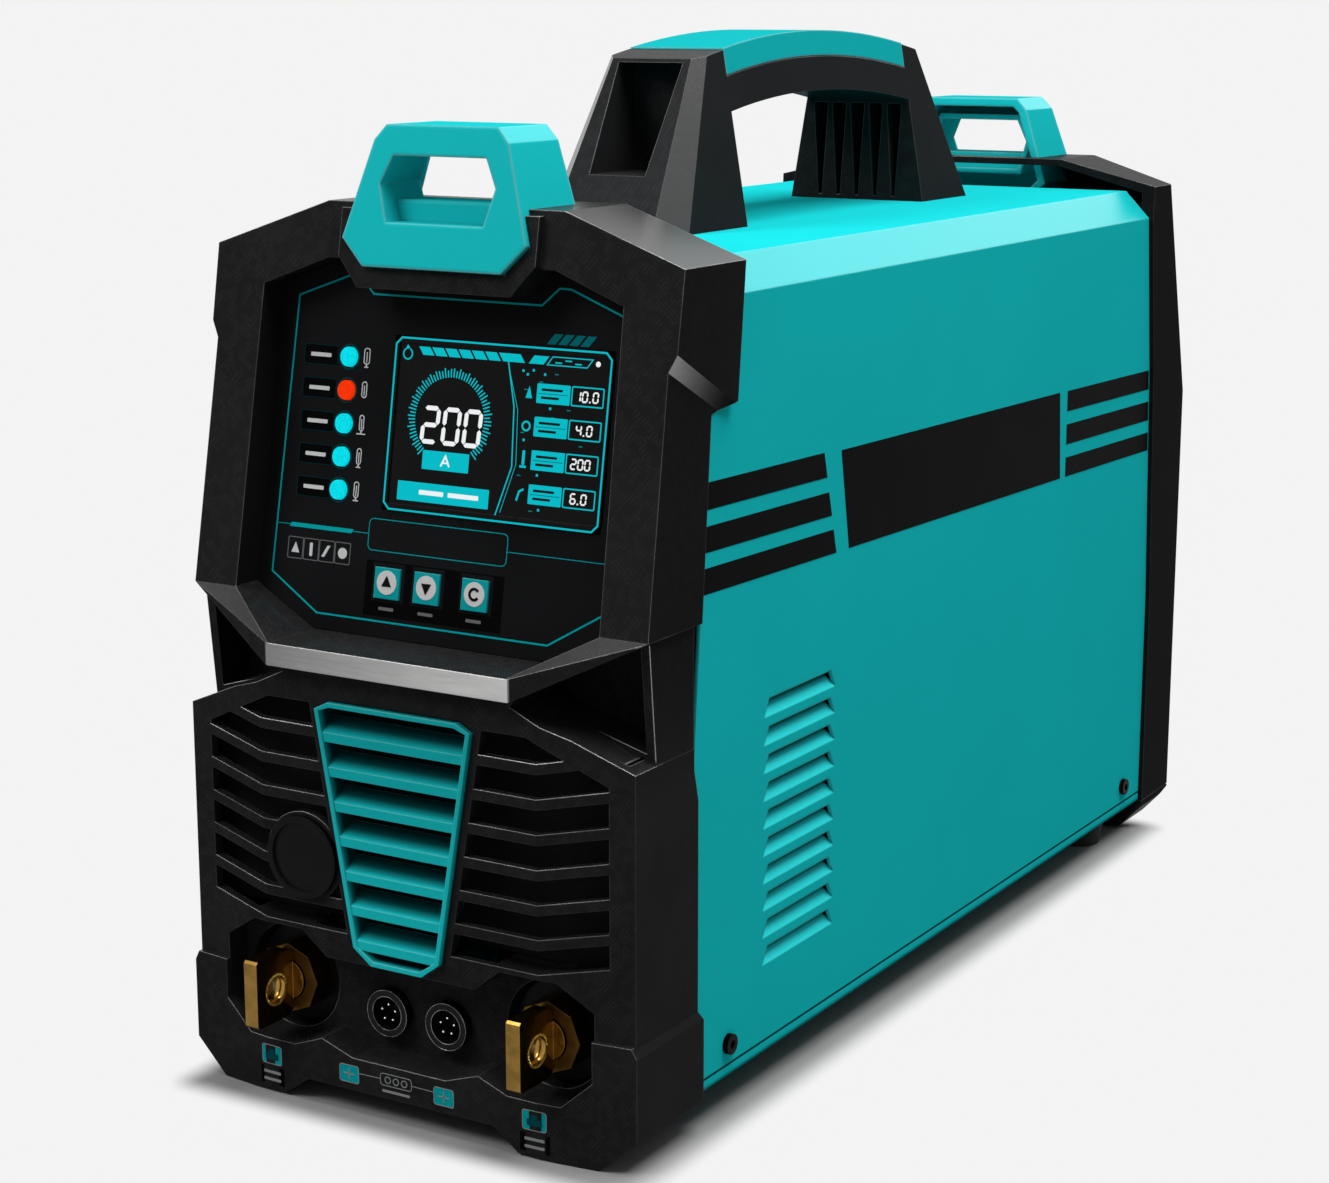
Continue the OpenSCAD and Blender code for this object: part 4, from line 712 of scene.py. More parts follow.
class WELDER_OT_solids(Dressing, bpy.types.Operator):
    """Give every solid of the machine its finish"""

    bl_idname = "welder.solids"
    bl_label = "Finish the Solids"

    def execute(self, context):
        c = context.scene.welder.colours
        (_, _, hem), (half_w, _, _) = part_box("casing")
        satin_black = (0.006, 0.006, 0.0065)
        # Painted shade: the rear moulding and the handle are darker copies of the black mouldings' colour, with dimmer
        # painted edge highlights; the rear moulding's side faces are painted darker still and the handle's a little
        # lighter
        rear, rear_edge = shade(c.black, 0.55), shade(c.edge_glint, 0.6)
        handle, handle_edge = shade(c.black, 0.85), shade(c.edge_glint, 0.35)
        finishes = {
            "front_bezel": grained_moulding("grained_black", c.black, c.edge_glint, front_gloss, facets=True),
            "rear_bezel": grained_moulding("rear_black", rear, rear_edge, rear_gloss, painted_side_tone=0.45),
            "carry_handle": grained_moulding("handle_black", handle, handle_edge, handle_gloss, 0.42, 1.1),
            "grille_cap": dull("cap_black", (0.0035, 0.0035, 0.0038), 0.3, 0.7, 0.03, 0.06),
            "casing base_plate": powder_coat("casing_coat", c.casing, half_w=half_w, hem=hem),
            "front_lift_bracket rear_lift_bracket": powder_coat(
                "eye_coat", c.moulding, 0.4, 1.9, 2.5, painted_top_shade_tone=0.75
            ),
            # Painted shade: the grip cap is a darker copy of the coloured mouldings' colour
            "handle_cap": powder_coat("grip_coat", shade(c.moulding, 0.78), 0.4, painted_top_shade_tone=0.8),
            "grille_insert": powder_coat("slat_coat", shade(c.moulding, 1.12), 0.4, 0.6, 9.0, painted_slat_shade=True),
            "display_panel": film_finish("film_black", c.film),
            "lcd_screen": dull("screen_black", (0.001, 0.0011, 0.0013), 0.3, 0.5, 0.01, 0.08),
            " ".join(KEYS): powder_coat("key_teal", (0.006, 0.44, 0.47), 0.4, 0.6),
            "status_lamps": lens("lens_cyan", (0.0, 0.66, 0.75)),
            "fault_lamp": lens("lens_red", (0.86, 0.03, 0.0)),
            "gun_terminal work_terminal gas_inlet": metal("terminal_brass", c.brass, 0.17, 0.35, (1, 1, 0.15), 0.6),
            # Painted shade: the collars are a far darker copy of the terminals' brass
            "terminal_collars": metal("collar_brass", (0.10, 0.055, 0.012), 0.38, 0.6, (1, 0.2, 1), 0.5),
            "grille_filter": dull("filter_foam", (0.004, 0.004, 0.0042), 0.9, 1.6, 0.4, 0.1),
            "terminal_insulators socket_cores cable_gland power_switch": dull(
                "insulator_black", satin_black, 0.34, 0.9, 0.03, 0.04
            ),
            "control_sockets": dull("socket_black", satin_black, 0.25, 0.9, 0.02, 0.08),
            "socket_nuts terminal_nuts fan_guard": metal("plated_steel", (0.55, 0.55, 0.56), 0.3, 0.4, (1, 0.2, 1)),
            "casing_screws": dull("blackened_screw", (0.0022, 0.0022, 0.0024), 0.3, 0.5, 0.02, 0.02),
            "rubber_feet": dull("foot_rubber", (0.01, 0.01, 0.01), 0.75, 0.6, 0.08, 0.25),
            "fan_frame fan_rotor": dull("fan_plastic", (0.014, 0.014, 0.015), 0.5),
            "power_rocker": dull("rocker_black", (0.01, 0.01, 0.011), 0.25, 0.8, 0.02, 0.5),
            "control_board power_board": dull("board_green", (0.012, 0.085, 0.035), 0.4, 1.6, 0.04),
            "heatsink": metal("sink_metal", (0.62, 0.63, 0.65), 0.38, 0.5, (1, 0.1, 1)),
            "capacitor_bank": dull("can_sleeve", (0.012, 0.014, 0.03), 0.3, 2.0, 0.03, 0.45),
            "transformer_core": dull("core_varnish", (0.05, 0.048, 0.046), 0.5, 0.7, 0.12),
            "transformer_coil output_busbars": metal("bare_copper", (0.6, 0.25, 0.11), 0.35, 0.5, (1, 0.15, 1)),
        }
        left = set(frame["nodes"])
        for nodes, material in finishes.items():
            for node in nodes.split():
                mesh = frame["nodes"][node].data
                mesh.materials.clear()
                mesh.materials.append(material)
                left.remove(node)
        if left:
            raise RuntimeError(f"no finish for {sorted(left)}")
        return {"FINISHED"}


class WELDER_OT_film(Dressing, bpy.types.Operator):
    """Print the display film: outline, label boxes, stud signs and rules"""

    bl_idname = "welder.film"
    bl_label = "Print the Film"

    def execute(self, context):
        s = context.scene.welder
        line, thick = s.print.line / MM, s.print.ink / MM
        bright = ink("film_bright_ink", (0.0, 0.52, 0.55))
        pale = ink("film_pale_ink", (0.82, 0.83, 0.84))
        grey = ink("film_grey_ink", (0.20, 0.205, 0.21))

        def sheet(level=0):
            return Printing(on_film, level * thick, thick)

        half = [(37.5, 103.6), (44.5, 110.0), (49.4, 109.9), (72.3, 101.5), (74.9, -3.9), (52.2, -17.5)]
        outline = [(-u, v) for u, v in half] + half[::-1]
        sheet().band(outline, line * 1.5, True).object("film_outline", bright)

        lamp_x = centre("status_lamps")[0]
        lamp_s = SCREEN_S - LAMP_LOW + LAMP_PITCH * np.arange(5)
        boxes, edges, words, rings = sheet(), sheet(1), sheet(1), sheet()
        for k, v in enumerate(lamp_s):
            shift = -0.35 * (4 - k)
            shape = box_outline(-67.6 - shift, -52.0 - shift, v - 3.7, v + 3.7, 0.8)
            boxes.fill(shape)
            edges.band(shape, 0.22, True)
            words.box(-64.6 - shift, -55.0 - shift, v - 0.75, v + 0.75, 0.3)
            rings.band(arc_line(lamp_x, v, 4.6), 0.5, True)
        boxes.fills(self.key_surround(-30.6, 31.4, -15.6, 5.0))
        boxes.object("film_boxes", film_finish("film_deep_black", (0.0022, 0.0023, 0.0026)))
        edges.object("film_box_edges", ink("film_edge_ink", (0.0, 0.035, 0.04)))
        words.object("film_label_bars", pale)
        rings.object("lamp_rings", ink("lamp_ring_ink", (0.0, 0.06, 0.066)))

        studs = sheet()
        u = lamp_x + 8.1
        half_widths, feet = (1.0, 0.95, 0.95, 1.05, 1.25), (1.2, 1.0, 2.0, 0.0, 0.9)
        for v, w, foot in zip(lamp_s, half_widths, feet):
            studs.frame(0.4, u - w, u + w, v - 2.2, v + 3.6, min(w, 0.95))
            studs.band([(u, v - 1.6), (u, v + 2.2)], 0.4)
            if foot:
                studs.band([(u - foot, v - 3.4), (u + foot, v - 3.4)], 0.45)
                studs.band([(u, v - 3.4), (u, v - 2.4)], 0.6)
        studs.object("stud_signs", pale)

        hatch = sheet()
        hatch.fills([slanted(41.0 + 4.73 * i, 44.6 + 4.73 * i, 90.0, 93.8, 3.1) for i in range(4)])
        hatch.object("film_hatch", ink("film_dark_ink", (0.0, 0.21, 0.23)))

        rules = sheet()
        rules.band([(-74.4, 14.7), (-30.9, 14.7)], line * 0.7).band([(31.5, 14.1), (74.4, 14.1)], line * 0.7)
        rules.frame(line * 0.8, -30.9, 31.5, 8.7, 20.5, 2.0)
        rules.object("film_rules", ink("film_line_ink", s.colours.line))
        sheet(1).fill(slanted(-68.2, -38.9, 13.9, 15.5, 0.9)).object("film_bar", bright)

        frames, signs = sheet(), sheet()
        for i in range(4):
            u0 = -68.2 + 7.45 * i
            frames.frame(0.3, u0, u0 + 7.0, 2.0, 10.0, 0.5)
            m = u0 + 3.5
            shapes = (
                [(m - 1.9, 4.2), (m + 1.9, 4.2), (m, 8.2)],
                box_outline(m - 0.7, m + 0.7, 3.4, 8.6, 0.6),
                slanted(m - 2.4, m - 1.0, 3.8, 8.2, 2.6),
                arc_line(m, 6.0, 2.1),
            )
            signs.fill(shapes[i])
        frames.object("pictogram_frames", grey)
        signs.object("pictogram_signs", pale)

        captions = sheet(1)
        for node in KEYS:
            u = centre(node)[0]
            captions.box(u - 3.4, u + 3.4, -13.2, -12.0, 0.3)
        captions.object("key_caption_bars", grey)
        return {"FINISHED"}

    def key_surround(self, left, right, bottom, top, gap=0.3):
        """Strips that fill a box round the square keys: one below, one above and one beside each key."""
        spans = sorted((corners(node)[0][0] - gap, corners(node)[1][0] + gap) for node in KEYS)
        half = (spans[0][1] - spans[0][0]) / 2
        starts, ends = (left, *(b for _, b in spans)), (*(a for a, _ in spans), right)
        low, high = KEY_S - half, KEY_S + half
        beside = [box_outline(a, b, low, high) for a, b in zip(starts, ends)]
        return [box_outline(left, right, bottom, low), box_outline(left, right, high, top), *beside]


class WELDER_OT_screen(Dressing, bpy.types.Operator):
    """Light the screen: frame, header, gauge, digits and value rows"""

    bl_idname = "welder.screen"
    bl_label = "Light the Screen"

    def execute(self, context):
        s = context.scene.welder
        cyan = lit("screen_cyan", s.colours.glow)
        shift = centre("lcd_screen")[0] - SCREEN_X
        glass, rim, thick = 0.2, 0.8, s.print.ink / MM

        def on_glass(uv, lift):
            return on_film(np.asarray(uv, float) + (shift, 0), lift)

        border = Printing(on_glass, rim, thick).frame(0.7, -24.7, 69.4, 24.8, 88.4, 2.4, 1)
        border.object("screen_frame", cyan)
        shapes, fine, bars, text = (Printing(on_glass, glass + level * thick, thick) for level in (0, 0, 1, 2))
        self.header(shapes, fine)
        self.gauge(shapes, fine, text, s.print.ticks)
        self.rows(shapes, fine, bars, text)
        shapes.object("screen_blocks", cyan)
        fine.object("screen_lines", cyan)
        bars.object("screen_label_bars", dull("screen_void", (0.0016, 0.0016, 0.0018), 0.3, 0.5, 0.01, 0.08))
        text.object("screen_digits", lit("screen_white", (0.86, 0.89, 0.9)))

        marks = Printing(on_glass, glass, thick * 0.6)
        for i, v in enumerate(np.arange(26.5, 82.0, 3.1)):
            u = 6.3 * (i % 5)
            marks.box(33.0 + u, 34.6 + u, v, v + 0.35)
        marks.object("screen_faint_marks", lit("screen_dim_cyan", shade(s.colours.glow, 0.4)))
        return {"FINISHED"}

    def header(self, shapes, fine):
        """Slanted blocks, a framed strip and a round sign along the screen's top."""
        low, high = 82.6, 85.6
        shapes.fills([slanted(-12.6 + 5.9 * i, -7.6 + 5.9 * i, low, high, -2.2) for i in range(6)])
        shapes.fill(slanted(23.0, 32.4, low, high, -2.2)).fill(slanted(34.0, 40.4, low, high, 2.2))
        fine.band(slanted(42.0, 59.0, low, high, 2.2), 0.4, True)
        for i in range(3):
            u, v = 4.2 * i, 0.9 * (i % 2)
            fine.box(45.4 + u, 48.2 + u, 83.3 + v, 83.8 + v)
        fine.band(arc_line(-19.6, low, 2.0, 120, 300, 28), 0.55)
        fine.fill([(-20.8, 84.3), (-18.6, 84.6), (-19.9, 86.0)])

    def gauge(self, shapes, fine, text, ticks):
        """Ticks of slightly changing length round a large number, with its unit and two bars below."""
        middle, inner, outer = (1.4, 59.8), 15.4, 18.4
        angle = np.radians(np.linspace(-46, 227, ticks))
        reach = outer + 0.55 * np.cos(np.arange(ticks) * 2.4)
        for a, r in zip(angle, reach):
            way = np.array([math.cos(a), math.sin(a)])
            fine.band([way * inner + middle, way * r + middle], 0.5)
        text.fills(digit_outlines("200", -10.3, 51.0, 6.4, 12.4, 1.7, 3.0))
        shapes.box(-9.2, 11.6, 40.8, 47.8, 0.3)
        text.band([(-0.7, 42.4), (1.2, 46.2), (3.1, 42.4)], 0.7).band([(0.1, 43.7), (2.3, 43.7)], 0.6)
        shapes.box(-19.3, 21.6, 28.6, 35.7, 0.3)
        text.box(-9.4, 1.6, 31.3, 33.0, 0.4).box(3.6, 17.2, 31.3, 33.0, 0.4)

    def rows(self, shapes, fine, bars, text):
        """Four rows of sign, label and value behind a bent divider, with small dots between them."""
        fine.band([(25.1, 83.2), (29.3, 66.6), (30.5, 45.0), (24.6, 25.6)], 0.5)
        fine.band([(26.6, 78.0), (31.0, 65.6), (32.2, 46.0), (27.0, 28.0)], 0.22)
        for v, number in ((68.7, "10.0"), (56.7, "4.0"), (44.6, "200"), (32.3, "6.0")):
            shapes.box(38.6, 52.8, v, v + 7.1, 0.4)
            fine.frame(0.5, 53.6, 66.9, v + 0.2, v + 6.9, 0.5)
            bars.box(40.6, 49.6, v + 4.5, v + 5.4, 0.2)
            bars.box(40.6, 48.2, v + 1.6, v + 2.5, 0.2)
            bars.band([(39.4, v + 3.5), (52.0, v + 3.5)], 0.2)
            wide = 2.0 * len(number.replace(".", "")) + 1.0 * len(number)
            text.fills(digit_outlines(number, 60.2 - wide / 2, v + 1.8, 2.0, 3.5, 0.6, 0.95))
        fine.fill([(33.9, 70.2), (36.7, 70.2), (35.3, 74.6)]).band(arc_line(35.2, 60.1, 1.6), 0.7, True)
        fine.box(34.6, 35.8, 46.0, 51.4, 0.5).box(33.8, 36.6, 45.0, 45.9, 0.2)
        fine.band([(33.6, 33.0), (34.6, 36.4), (36.4, 37.4)], 0.8)
        dots = (
            (31.6, 79.4), (33.6, 78.2), (36.0, 79.8), (41.0, 78.6),
            (44.4, 66.6), (41.2, 42.4), (34.2, 54.6), (43.0, 30.0),
        )
        fine.fills([box_outline(u, u + 0.9, v, v + 0.9) for u, v in dots])
        text.fill(arc_line(63.6, 84.2, 1.0, steps=20))


class WELDER_OT_keys(Dressing, bpy.types.Operator):
    """Put a pale disc and a dark sign on each key"""

    bl_idname = "welder.keys"
    bl_label = "Mark the Keys"

    def execute(self, context):
        thick = 2 * context.scene.welder.print.ink / MM
        pale = ink("key_disc_white", (0.86, 0.86, 0.85), 0.4)
        dark = ink("key_sign_black", (0.006, 0.006, 0.006), 0.4)
        for node in KEYS:
            u, v, lift = centre(node)[0], KEY_S, self.front(node)
            name = node.replace("_button", "")
            Printing(on_film, lift, thick).fill(arc_line(u, v, 4.5)).object(f"{name}_key_disc", pale, node)
            sign = Printing(on_film, lift + thick, thick)
            if name == "enter":
                sign.band(arc_line(u, v, 2.0, 35, 290, 28), 1.0)
            else:
                way = 1 if name == "up" else -1
                sign.fill([(u - 2.2, v - 1.5 * way), (u + 2.2, v - 1.5 * way), (u, v + 2.7 * way)])
            sign.object(f"{name}_key_sign", dark, node)
        return {"FINISHED"}

    def front(self, node):
        """Lift of a key's front face off the film: the farthest of its points along the film's normal."""
        mesh = frame["nodes"][node].data
        points = np.empty(len(mesh.vertices) * 3)
        mesh.vertices.foreach_get("co", points)
        origin, = on_film([(0, 0)], 0)
        return ((points.reshape(-1, 3) - origin) @ np.array([0, -math.cos(LEAN), math.sin(LEAN)])).max() / MM


class WELDER_OT_foot(Dressing, bpy.types.Operator):
    """Print the small plates and rules on the foot below the terminals"""

    bl_idname = "welder.foot"
    bl_label = "Mark the Foot"

    def execute(self, context):
        pale = ink("foot_pale_ink", (0.34, 0.35, 0.36))
        plates, labels = Printing(on_foot, 0, PLATE), Printing(on_foot, 0, PLATE)
        edges, signs, dark = (Printing(on_foot, PLATE, PLATE) for _ in range(3))
        squares = (
            (-65.4, -55.8, 11.4, 19.0), (-27.6, -18.6, 12.0, 18.9),
            (16.2, 25.2, 11.9, 18.8), (55.8, 65.9, 11.1, 18.7),
        )
        for square in squares:
            plates.box(*square, 1.0)
            edges.frame(0.28, *square, 1.0)
        for u0, u1, v0, v1 in squares[1:3]:
            u, v = (u0 + u1) / 2, (v0 + v1) / 2
            signs.band([(u - 2.6, v), (u + 2.6, v)], 0.45).band([(u, v - 2.2), (u, v + 2.2)], 0.45)
        for u, v in ((-60.6, 15.2), (60.9, 14.9)):
            dark.box(u - 3.2, u + 3.2, v - 2.0, v + 0.6, 0.6)
            dark.box(u - 1.4, u + 1.4, v + 0.6, v + 2.2, 0.5)
        signs.frame(0.3, -8.4, 6.0, 14.3, 19.0, 1.2)
        for u in (-5.0, -1.2, 2.6):
            signs.band(arc_line(u, 16.6, 1.25, steps=24), 0.4, True)
        signs.band([(-18.6, 16.4), (-8.4, 16.6)], 0.25).band([(6.0, 16.6), (16.2, 16.4)], 0.25)
        labels.box(-66.4, -54.8, 3.0, 10.2, 0.3).box(54.6, 67.2, 2.6, 9.8, 0.3)
        for u, v in ((-60.6, 8.0), (-60.6, 5.0), (60.9, 7.6), (60.9, 4.6)):
            signs.box(u - 4.2, u + 4.2, v - 0.55, v + 0.55, 0.25)
        signs.box(-7.6, 5.2, 11.6, 12.6, 0.25)
        plates.object("foot_plates", ink("foot_teal_ink", (0.0, 0.44, 0.48), 0.35))
        edges.object("foot_plate_edges", pale)
        dark.object("foot_plate_signs", ink("foot_dark_ink", (0.0, 0.07, 0.085)))
        labels.object("foot_label_boxes", film_finish("foot_deep_black", (0.0022, 0.0022, 0.0025)))
        signs.object("foot_signs", pale)
        return {"FINISHED"}


class WELDER_OT_stripes(Dressing, bpy.types.Operator):
    """Lay the black stripes on the casing's sides and the bare plate on its right side"""

    bl_idname = "welder.stripes"
    bl_label = "Lay the Side Stripes"

    def execute(self, context):
        black = film_finish("stripe_black", (0.0042, 0.0043, 0.0046))
        for side, carrier in (("right", on_right_side), ("left", on_left_side)):
            stripes = Printing(carrier, 0, PLATE, side == "left")
            for z0, z1 in ((235.0, 244.9), (219.5, 229.0), (204.3, 213.8)):
                stripes.fill(self.stripe(z0, z1, self.front_edge, self.plate_front))
            for z0, z1 in ((228.3, 237.7), (212.9, 222.2), (197.9, 206.8)):
                stripes.fill(self.stripe(z0, z1, self.plate_rear, self.rear_edge))
            stripes.object(f"{side}_stripes", black)
        plate = Printing(on_right_side, 0, PLATE)
        plate.fill([(161.5, 202.0), (373.0, 198.0), (370.0, 238.0), (154.0, 242.0)])
        plate.object("right_bare_plate", black)
        return {"FINISHED"}

    def stripe(self, z0, z1, start, end, drop=0.0215):
        """Outline between two heights, whose edges fall by drop per length from their start to their end station."""
        (a0, b0), (a1, b1) = ((start(z), end(z)) for z in (z0, z1))
        return [(a0, z0), (b0, z0 - (b0 - a0) * drop), (b1, z1 - (b1 - a1) * drop), (a1, z1)]

    def front_edge(self, z):
        """Station just behind the front moulding's edge at height z."""
        return 41.9 + (z - 141.1) * 11.0 / 127.9

    def plate_front(self, z):
        """Station before the bare plate's leaning front edge at height z."""
        return 140 + (244 - z) * 0.272

    def plate_rear(self, z):
        """Station behind the bare plate, the same at every height."""
        return 379

    def rear_edge(self, z):
        """Station just before the rear moulding's edge at height z."""
        return 487.4 - (z - 119.1) * 6.5 / 115.4


class WELDER_OT_terminals(Dressing, bpy.types.Operator):
    """Line the terminals' bolt holes with a bright sleeve and rolled rims"""

    bl_idname = "welder.terminals"
    bl_label = "Line the Terminal Holes"

    def execute(self, context):
        """A rim is a flattened circle turned about the hole, a lining is a thin closed sleeve turned about it."""
        # Painted highlight: the rims and the lining are lighter copies of the terminals' brass, bright rings round the
        # holes besides what they reflect
        gold = metal("rim_gold", (0.95, 0.58, 0.12), 0.16, 2.5, (1, 1, 1), 0.85, 0.1)
        deep = metal("bore_brass", (0.5, 0.29, 0.065), 0.16, 1.2, (0.2, 1, 1), 0.5, 0.1)
        a = np.linspace(0, 2 * math.pi, 13)[:-1]
        rim = np.stack([5.85 + 0.6 * np.cos(a), np.abs(np.sin(a)) * 0.5], 1)
        sleeve = [(5.25, -2.9), (5.25, 2.9), (5.12, 2.9), (5.12, -2.9)]
        for node in ("gun_terminal", "work_terminal"):
            x, _, z = centre(node)
            hole = np.array([x, corners(node)[0][1] + 11.5, z - 0.7])
            rims = [turned(rim, hole + (way * 3.0, 0, 0), (way, 0, 0), (0, 1, 0)) for way in (-1, 1)]
            piece(f"{node}_rims", *gather(rims), gold, smooth=True)
            piece(f"{node}_bore", *turned(sleeve, hole, (1, 0, 0), (0, 1, 0)), deep, smooth=True)
        return {"FINISHED"}


class WELDER_OT_sockets(Dressing, bpy.types.Operator):
    """Tip the sockets' pins with bright domes and run thin beads with painted glints along the shells' front edges"""

    bl_idname = "welder.sockets"
    bl_label = "Tip the Socket Pins"

    def execute(self, context):
        """A tip is a quarter circle on a short stem, turned about its pin; a bead is a circle turned about a shell."""
        silver = metal("pin_silver", (0.8, 0.8, 0.8), 0.15, 0.2, (1, 1, 1), 0.85, 0.15)
        # Painted glints: grey metal made near black in most patches, so that the beads show bright arcs only here and
        # there
        glint_patches = metal("painted_glint_edge", (0.3, 0.3, 0.305), 0.15, 0.3, (1, 1, 1), 0.05)
        ring, tip, pins, bead = 3.2, 0.55, 5, 0.15
        dome = np.vstack([[(0.001, -0.6), (tip, -0.6)], arc_line(0.001, 0, tip, 0, 90, 7)])
        tips = []
        for x, y, z, _ in self.fronts("socket_cores"):
            for a in np.radians(np.arange(pins) * 360 / pins):
                place = (x + ring * math.sin(a), y - 0.05, z + ring * math.cos(a))
                tips.append(turned(dome, place, (0, -1, 0), (1, 0, 0), 16))
        piece("socket_pin_tips", *gather(tips), silver, smooth=True)
        beads = []
        for x, y, z, radius in self.fronts("control_sockets"):
            for r in (radius - 0.25, radius - 2.7):
                beads.append(turned(arc_line(r, 0, bead, steps=8), (x, y, z), (0, -1, 0), (1, 0, 0), 64))
        piece("socket_edge_beads", *gather(beads), glint_patches, smooth=True)
        return {"FINISHED"}

    def fronts(self, node):
        """Front middle and radius of each of a node's two round solids, which lie mirrored across the machine."""
        low, high = corners(node)
        radius = (high[2] - low[2]) / 2
        return [(way * (low[0] + radius), low[1], (low[2] + high[2]) / 2, radius) for way in (1, -1)]


class WELDER_OT_rocker(Dressing, bpy.types.Operator):
    """Print the on and off signs on the power rocker"""

    bl_idname = "welder.rocker"
    bl_label = "Mark the Rocker"

    def execute(self, context):
        signs = Printing(self.on_rocker, 0, 0.1, True)
        signs.box(-0.5, 0.5, 2.6, 6.2).band(arc_line(0, -4.4, 1.8), 0.6, True)
        signs.object("rocker_signs", ink("rocker_sign_ink", (0.7, 0.7, 0.7), 0.4), "power_rocker")
        return {"FINISHED"}

    def on_rocker(self, uv, lift):
        """Points on the rocker's two shallow faces, which meet in a valley, turned with it about its pin."""
        joints = frame["record"]["behaviour"]["joints"]
        pin = next(j["pos_m"] for j in joints if j["child"] == "power_rocker")
        u, v = np.asarray(uv, float).T
        valley, rise, swing = 3.4, 1.0 / 7.6, math.radians(-10)
        y = valley + np.abs(v) * rise + lift
        c, s = math.cos(swing), math.sin(swing)
        return np.stack([u, y * c - v * s, y * s + v * c], 1) * MM + np.array(pin)


class WELDER_OT_corner_feet(Dressing, bpy.types.Operator):
    """Set the faceted feet under the rear moulding's corners"""

    bl_idname = "welder.corner_feet"
    bl_label = "Set the Rear Corner Feet"

    def execute(self, context):
        """A five-sided profile of (x, z) carried along three stations in y, and the same mirrored across."""
        _, (side, rear, _) = corners("rear_bezel")
        tray = corners("base_plate")[0][2] - 0.15
        inner, front, joint, rise = 70.0, 228.0, 236.0, 261.5
        x = np.array([(inner, side - 0.1, side, sole, inner) for sole in (92.5, 92.5, 95.0)])
        y = np.array([(front, joint, joint, front, front), (rise,) * 5, (rear - 0.05,) * 5])
        z = np.array([(tray, tray, bevel, sole, sole) for bevel, sole in ((11.5, 1.5), (11.5, 1.5), (13.5, 12.0))])
        right = np.stack([x, y, z], 2).reshape(-1, 3)
        s, k = np.meshgrid(np.arange(2), np.arange(5), indexing="ij")
        n = (k + 1) % 5
        walls = np.stack([s * 5 + k, s * 5 + n, s * 5 + 5 + n, s * 5 + 5 + k], 2).reshape(-1, 4)
        faces = [*walls, (4, 3, 0), (0, 3, 2), (0, 2, 1), (10, 11, 12, 13, 14)]
        mirrored = [tuple(int(i) + len(right) for i in f)[::-1] for f in faces]
        both = np.vstack([right, right * (-1, 1, 1)]) * MM
        # Painted shade: the feet are a darker copy of the black mouldings' colour, side faces darker still, edges
        # without painted highlight
        dark = shade(context.scene.welder.colours.black, 0.5)
        finish = grained_moulding("corner_foot_black", dark, dark, rear_gloss, painted_side_tone=0.45)
        piece("rear_corner_feet", both, [*faces, *mirrored], finish)
        return {"FINISHED"}


class WELDER_OT_eye_ledges(Dressing, bpy.types.Operator):
    """Set the ledge that closes the lower part of each lifting eye's window"""

    bl_idname = "welder.eye_ledges"
    bl_label = "Set the Eye Ledges"

    def execute(self, context):
        """A five-sided profile of (depth, height) with a bevelled upper front edge, wider with its height."""
        depth = np.array([12.3, 12.8, 13.5, 28.5, 28.5])
        height = np.array([15.5, 23.2, 23.9, 23.9, 15.5])
        half = 22.0 + (height - height[0]) * 4.0 / 13.5
        k = np.arange(5)
        n = (k + 1) % 5
        walls = np.stack([n, n + 5, k + 5, k], 1)
        for side, way in (("front", 1), ("rear", -1)):
            low, high = corners(f"{side}_lift_bracket")
            y = (low if way > 0 else high)[1] + way * depth
            z = low[2] + height
            points = np.vstack([np.stack([half, y, z], 1), np.stack([-half, y, z], 1)]) * MM
            faces = [f[::way] for f in (k[::-1], k + 5, *walls)]
            piece(f"{side}_eye_ledge", points, faces, bpy.data.materials["eye_coat"])
        return {"FINISHED"}


